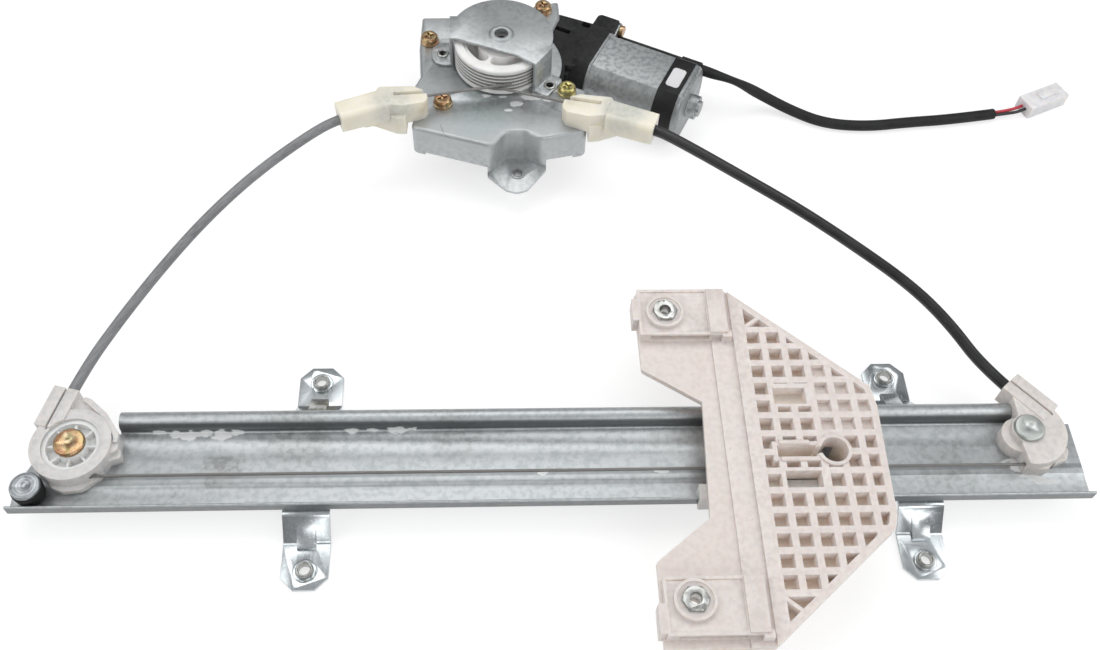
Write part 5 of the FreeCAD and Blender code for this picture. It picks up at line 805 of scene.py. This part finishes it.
materials = {
    "rail_zinc": platedSteel("railZinc", railLook, railStains, railGrease),
    "bracket_zinc": platedSteel("bracketZinc", bracketLook, bracketStains),
    "plate_zinc": platedSteel("plateZinc", plateLook, plateStainsAndHoleShade, plateGrease),
    "can_steel": platedSteel("canSteel", canLook),
    "nut_zinc": platedSteel("nutZinc", nutLook),
    "rivet_steel": platedSteel("rivetSteel", rivetLook),
    "cap_steel": platedSteel("capSteel", capLook),
    "inner_steel": platedSteel("innerSteel", innerLook),
    "copper": platedSteel("copperWire", copperLook),
    "sintered_bronze": platedSteel("sinteredBronze", sinteredLook),
    "yellow_zinc": chromatedSteel("yellowZinc", goldLook, goldTints),
    "terminal_brass": chromatedSteel("terminalBrass", brassLook),
    "wire_rope": ropeMaterial("wireRope", ropeLook),
    "natural_nylon": moulding("naturalNylon", liftLook),
    "white_nylon": moulding("whiteNylon", whiteLook, pulleyStains),
    "housing_nylon": moulding("housingNylon", housingLook, housingStains),
    "drum_nylon": moulding("drumNylon", drumLook),
    "cream_nylon": moulding("creamNylon", creamLook, creamStains),
    "gear_nylon": moulding("gearNylon", gearLook),
    "black_plastic": moulding("blackPlastic", blackLook),
    "black_rubber": moulding("blackRubber", rubberLook),
    "band_black": moulding("bandBlack", bandLook),
    "label_white": moulding("labelWhite", labelLook),
    "connector_nylon": moulding("connectorNylon", connectorLook),
    "ferrite": moulding("ferriteMagnet", ferriteLook),
    "conduit_grey": cordMaterial("conduitGrey", greyConduitLook),
    "conduit_black": cordMaterial("conduitBlack", blackConduitLook),
    "lead_black": cordMaterial("leadBlack", leadLook),
    "wire_red": cordMaterial("wireRed", redWireLook),
    "wire_black": cordMaterial("wireBlack", blackWireLook),
}
print("stage: materials made,", len(materials))


def finishPiece(thing, material, body, replaced=()):
    thing.data.materials.clear()
    thing.data.materials.append(materials[material])
    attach(thing, body)
    if replaced:
        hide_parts(*replaced)


# Cords get their skins, ride on the frame body and hide the CAD nodes they stand for

finishPiece(leftConduit, "conduit_grey", "frame", ["left_conduit"])
finishPiece(rightConduit, "conduit_black", "frame", ["right_conduit"])
finishPiece(leadSleeve, "lead_black", "frame", ["lead_sleeve"])

# Wire rope: six strands laid round a core

ropeSizes = {
    "radius": 0.00075, "lay": 0.0085, "spacing": 0.0008, "strands": 6, "points per strand": 4,
    "valley reach": 0.577, "crest span": 0.423, "wrap inset": 0.00005
}


def strandOutline(phase, radius):
    ring = []
    steps = ropeSizes["points per strand"]
    share = 360 / ropeSizes["strands"]
    middle = radius * 2 / 3
    strand = radius / 3
    for j in range(ropeSizes["strands"] * steps):
        offset = math.radians(-share / 2 + share * (j % steps) / steps)
        turn = phase + math.radians(share * (j // steps)) + offset
        bulge = math.sqrt(max(0.0, strand ** 2 - (middle * math.sin(offset)) ** 2))
        reach = middle * math.cos(offset) + bulge
        crest = (reach / radius - ropeSizes["valley reach"]) / ropeSizes["crest span"]
        ring.append((math.cos(turn) * reach, math.sin(turn) * reach, crest))
    return ring


def wireRope(name, line, radius, loop=False):
    gap = (line[1] - line[0]).length
    laps = max(1, round(gap * len(line) / ropeSizes["lay"]))
    stepTurn = 2 * math.pi * laps / len(line) if loop else 2 * math.pi * gap / ropeSizes["lay"]
    return sweptMesh(name, line, lambda i: strandOutline(stepTurn * i, radius), loop=loop)


# Corners round the left pulley, the straight run in the rail, and corners round the right guide
railRopeRoute = [
    (-0.24603, 0.01816, 0.0189), (-0.24774, 0.01151, 0.0189), (-0.24982, 0.00350, 0.0189),
    (-0.24694, -0.00427, 0.0189), (-0.24014, -0.0090, 0.0189), (-0.23186, -0.0090, 0.0189),
    (0.18169, -0.0090, 0.0189), (0.19031, -0.0090, 0.0189), (0.19759, -0.00436, 0.0189),
    (0.20124, 0.00345, 0.0189), (0.20011, 0.01201, 0.0189), (0.19456, 0.01862, 0.0189),
    (0.19284, 0.02068, 0.0189)
]
railRope = wireRope("railRope", lineAlong(railRopeRoute, ropeSizes["spacing"]), ropeSizes["radius"])
finishPiece(railRope, "wire_rope", "frame", ["rail_cable"])

drumRopeSizes = {
    "axis": (-0.0485, 0.2260), "ring radius": 0.0240, "first ring": 0.0404, "pitch": 0.0022, "rings": 5,
    "left run": ((-0.04344, 0.20096, 0.0449), (-0.0972, 0.1901, 0.0449)),
    "right run": ((-0.05575, 0.20150, 0.0431), (-0.0040, 0.1862, 0.0431))
}
for side in ("left", "right"):
    touch, entry = [Vector(point) for point in drumRopeSizes[side + " run"]]
    run = lineAlong([touch, touch.lerp(entry, 0.5), entry], ropeSizes["spacing"])
    drumRope = wireRope(side + "DrumRope", run, ropeSizes["radius"])
    finishPiece(drumRope, "wire_rope", "frame", [side + "_drum_cable"])


def ringLine(radius, height):
    count = round(2 * math.pi * radius / ropeSizes["spacing"])
    centreX, centreY = drumRopeSizes["axis"]
    turns = [2 * math.pi * i / count for i in range(count)]
    return [Vector((centreX + radius * math.cos(a), centreY + radius * math.sin(a), height)) for a in turns]


wrapRings = []
for i in range(drumRopeSizes["rings"]):
    height = drumRopeSizes["first ring"] + i * drumRopeSizes["pitch"]
    line = ringLine(drumRopeSizes["ring radius"], height)
    wrapRings.append(wireRope("wrapRing", line, ropeSizes["radius"] - ropeSizes["wrap inset"], loop=True))
clearSelection()
for ring in wrapRings:
    ring.select_set(True)
bpy.context.view_layer.objects.active = wrapRings[0]
bpy.ops.object.join()
drumWraps = bpy.context.object
drumWraps.name = "drumWraps"
finishPiece(drumWraps, "wire_rope", "drum", ["drum_cable_wraps"])
print("stage: wire rope laid")

# CAD pieces carried over with softened edges


softening = {"merge": 0.000004, "flat": 0.8, "segments": 2, "sharp": 32.0, "smooth": 38.0, "worn": 40.0}
wideRounding = {
    "radius": 0.0017, "segments": 4, "top": 0.036, "close": 0.0003, "drop": 0.004, "level": 0.9,
    "steep": 0.4
}
labelCorner = {"radius": 0.0018, "segments": 6, "upright": 0.9}


def markEdges(mesh):
    # Keeps how sharply each point's faces turn, for worn edges
    build = bmesh.new()
    build.from_mesh(mesh)
    layer = build.verts.layers.float.get("edge") or build.verts.layers.float.new("edge")
    for vert in build.verts:
        turns = [edge.calc_face_angle(0.0) for edge in vert.link_edges]
        vert[layer] = min(1.0, max(turns, default=0.0) / math.radians(softening["worn"]))
    build.to_mesh(mesh)
    build.free()


def mergedCopy(nodeName, name):
    # A copy to model on, left in edit mode; the CAD node stays as it is
    source = nodes[nodeName]
    thing = source.copy()
    thing.data = source.data.copy()
    thing.parent = None
    for key in list(thing.keys()):
        del thing[key]
    thing.name = name
    scene.collection.objects.link(thing)
    pick(thing)
    bpy.ops.object.mode_set(mode="EDIT")
    bpy.ops.mesh.select_all(action="SELECT")
    bpy.ops.mesh.remove_doubles(threshold=softening["merge"])
    bpy.ops.mesh.dissolve_limited(angle_limit=math.radians(softening["flat"]))
    return thing


def roundWhere(thing, wanted, rounding):
    bpy.ops.mesh.select_mode(type="EDGE")
    bpy.ops.mesh.select_all(action="DESELECT")
    build = bmesh.from_edit_mesh(thing.data)
    found = [edge for edge in build.edges if wanted(edge)]
    for edge in found:
        edge.select = True
    bmesh.update_edit_mesh(thing.data)
    print(thing.name, "edges rounded:", len(found))
    bpy.ops.mesh.bevel(offset=rounding["radius"], segments=rounding["segments"], affect="EDGES")


def isPlateEdge(edge):
    # The drawn sheet turns down over a larger radius than its other edges have
    if len(edge.link_faces) != 2:
        return False
    if any(abs(v.co.z - wideRounding["top"]) > wideRounding["close"] for v in edge.verts):
        return False
    flats = [face for face in edge.link_faces if face.normal.z > wideRounding["level"]]
    sides = [face for face in edge.link_faces if abs(face.normal.z) < wideRounding["steep"]]
    if len(flats) != 1 or len(sides) != 1:
        return False
    return min(v.co.z for v in sides[0].verts) <= wideRounding["top"] - wideRounding["drop"]


def isLabelCorner(edge):
    along = edge.verts[1].co - edge.verts[0].co
    return abs(along.z) > labelCorner["upright"] * along.length


def softened(nodeName, material, width):
    thing = mergedCopy(nodeName, nodeName + "_soft")
    if nodeName == "base_plate":
        roundWhere(thing, isPlateEdge, wideRounding)
    bpy.ops.object.mode_set(mode="OBJECT")
    bevel = thing.modifiers.new("softEdges", "BEVEL")
    bevel.width = width
    bevel.segments = softening["segments"]
    bevel.limit_method = "ANGLE"
    bevel.angle_limit = math.radians(softening["sharp"])
    bevel.use_clamp_overlap = True
    bpy.ops.object.modifier_apply(modifier=bevel.name)
    bpy.ops.object.shade_smooth_by_angle(angle=math.radians(softening["smooth"]))
    markEdges(thing.data)
    finishPiece(thing, material, nodes[nodeName]["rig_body"], [nodeName])


def roundedLabel():
    thing = mergedCopy("band_label", "roundedLabel")
    roundWhere(thing, isLabelCorner, labelCorner)
    bpy.ops.object.mode_set(mode="OBJECT")
    finishPiece(thing, "label_white", nodes["band_label"]["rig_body"], ["band_label"])


softPieces = {
    "guide_rail": ("rail_zinc", 0.00025), "left_bracket": ("bracket_zinc", 0.00025),
    "right_bracket": ("bracket_zinc", 0.00025), "bracket_nuts": ("nut_zinc", 0.0002),
    "bumper_rubber": ("black_rubber", 0.0004), "bumper_rivet": ("cap_steel", 0.0003),
    "left_pulley_housing": ("white_nylon", 0.0005), "left_pulley_rivet": ("yellow_zinc", 0.0003),
    "right_guide_housing": ("housing_nylon", 0.0006), "right_guide_rivet": ("rivet_steel", 0.0003),
    "lift_plate": ("natural_nylon", 0.0004), "lift_nuts": ("nut_zinc", 0.0002),
    "upper_shoe": ("white_nylon", 0.0003), "lower_shoe": ("white_nylon", 0.0003),
    "base_plate": ("plate_zinc", 0.0005), "plate_screws": ("yellow_zinc", 0.0003),
    "drum_cover": ("plate_zinc", 0.0003), "cover_eyelets": ("nut_zinc", 0.0002),
    "drum": ("drum_nylon", 0.0004), "left_cable_guide": ("cream_nylon", 0.0006),
    "right_cable_guide": ("cream_nylon", 0.0006), "gearbox_housing": ("black_plastic", 0.0005),
    "motor_can": ("can_steel", 0.0006), "can_screws": ("yellow_zinc", 0.0002),
    "can_band": ("band_black", 0.0002), "connector_housing": ("connector_nylon", 0.0005),
}
plainPieces = {
    "left_pulley": "drum_nylon", "cable_nipples": "inner_steel", "drum_axle": "inner_steel",
    "worm_wheel": "gear_nylon", "rubber_damper": "black_rubber", "drive_plate": "inner_steel",
    "worm": "inner_steel", "motor_shaft": "inner_steel", "armature_core": "inner_steel",
    "armature_windings": "copper", "commutator": "copper", "brush_holder": "black_plastic",
    "brushes": "ferrite", "magnets": "ferrite", "shaft_bushes": "sintered_bronze",
    "red_wire": "wire_red", "black_wire": "wire_black",
    "connector_terminals": "terminal_brass",
}
for name, (material, width) in softPieces.items():
    softened(name, material, width)
roundedLabel()
for name, material in plainPieces.items():
    nodes[name].data.materials.clear()
    nodes[name].data.materials.append(materials[material])
print("stage: carried pieces finished")

# Floor, lamps and surroundings

studioLook = {
    "floor size": 6.0, "sky rise": 0.85, "floor colour": (0.80, 0.80, 0.80, 1),
    "floor seen": (0.42, 0.42, 0.42, 1), "floor glow": 0.66, "sky low": (0.30, 0.30, 0.31, 1),
    "sky high": (0.86, 0.87, 0.88, 1), "sky strength": 0.56
}

bpy.ops.mesh.primitive_plane_add(size=studioLook["floor size"], location=(0, 0, 0))
floor = bpy.context.object
floor.name = "floor"
floorMaterial = bpy.data.materials.new("floorWhite")
floorMaterial.use_nodes = True
tree = floorMaterial.node_tree
tree.nodes.remove(tree.nodes["Principled BSDF"])
plain = put(tree, "ShaderNodeBsdfDiffuse", {"Color": studioLook["floor colour"]})
seen = put(tree, "ShaderNodeBsdfDiffuse", {"Color": studioLook["floor seen"]})
glow = put(tree, "ShaderNodeEmission", {"Color": (1, 1, 1, 1), "Strength": studioLook["floor glow"]})
both = put(tree, "ShaderNodeAddShader", {0: seen.outputs[0], 1: glow.outputs[0]})
path = put(tree, "ShaderNodeLightPath")
looking = sums(tree, "MAXIMUM", path.outputs["Is Camera Ray"], path.outputs["Is Glossy Ray"])
looking = sums(tree, "MAXIMUM", looking, path.outputs["Is Transmission Ray"])
mixed = put(tree, "ShaderNodeMixShader", {0: looking, 1: plain.outputs[0], 2: both.outputs[0]})
tree.links.new(mixed.outputs[0], tree.nodes["Material Output"].inputs["Surface"])
floor.data.materials.append(floorMaterial)

world = bpy.data.worlds.new("studio")
scene.world = world
world.use_nodes = True
tree = world.node_tree
tree.nodes.clear()
where = put(tree, "ShaderNodeTexCoord").outputs["Generated"]
heights = put(tree, "ShaderNodeSeparateXYZ", {0: where}).outputs["Z"]
rise = ramp(tree, heights, 0.0, studioLook["sky rise"])
sky = mixColour(tree, rise, studioLook["sky low"], studioLook["sky high"])
soft = put(tree, "ShaderNodeBackground", {"Color": sky, "Strength": studioLook["sky strength"]})
white = put(tree, "ShaderNodeBackground", {"Color": (1, 1, 1, 1), "Strength": 1.0})
path = put(tree, "ShaderNodeLightPath")
mixed = put(tree, "ShaderNodeMixShader", {0: path.outputs["Is Camera Ray"], 1: soft.outputs[0],
                                          2: white.outputs[0]})
output = put(tree, "ShaderNodeOutputWorld")
tree.links.new(mixed.outputs[0], output.inputs["Surface"])

lampSettings = {
    "overhead": {"place": (-0.10, 0.55, 1.10), "aim": (-0.02, 0.08, 0.02), "size": (1.3, 0.6),
                 "power": 5.6},
    "left": {"place": (-1.0, -0.15, 0.75), "aim": (-0.05, 0.05, 0.02), "size": (0.7, 0.9), "power": 3.6},
    "right": {"place": (1.0, -0.05, 0.70), "aim": (0.08, 0.08, 0.02), "size": (0.7, 0.8), "power": 4.0},
    "front": {"place": (0.35, -1.0, 0.70), "aim": (0.0, 0.05, 0.02), "size": (0.9, 0.5), "power": 3.6},
}
for name, lamp in lampSettings.items():
    data = bpy.data.lights.new(name, "AREA")
    data.shape = "RECTANGLE"
    data.size, data.size_y = lamp["size"]
    data.energy = lamp["power"]
    thing = bpy.data.objects.new(name, data)
    scene.collection.objects.link(thing)
    thing.location = lamp["place"]
    thing.rotation_euler = (Vector(lamp["aim"]) - Vector(lamp["place"])).to_track_quat("-Z", "Y").to_euler()
print("stage: studio ready")

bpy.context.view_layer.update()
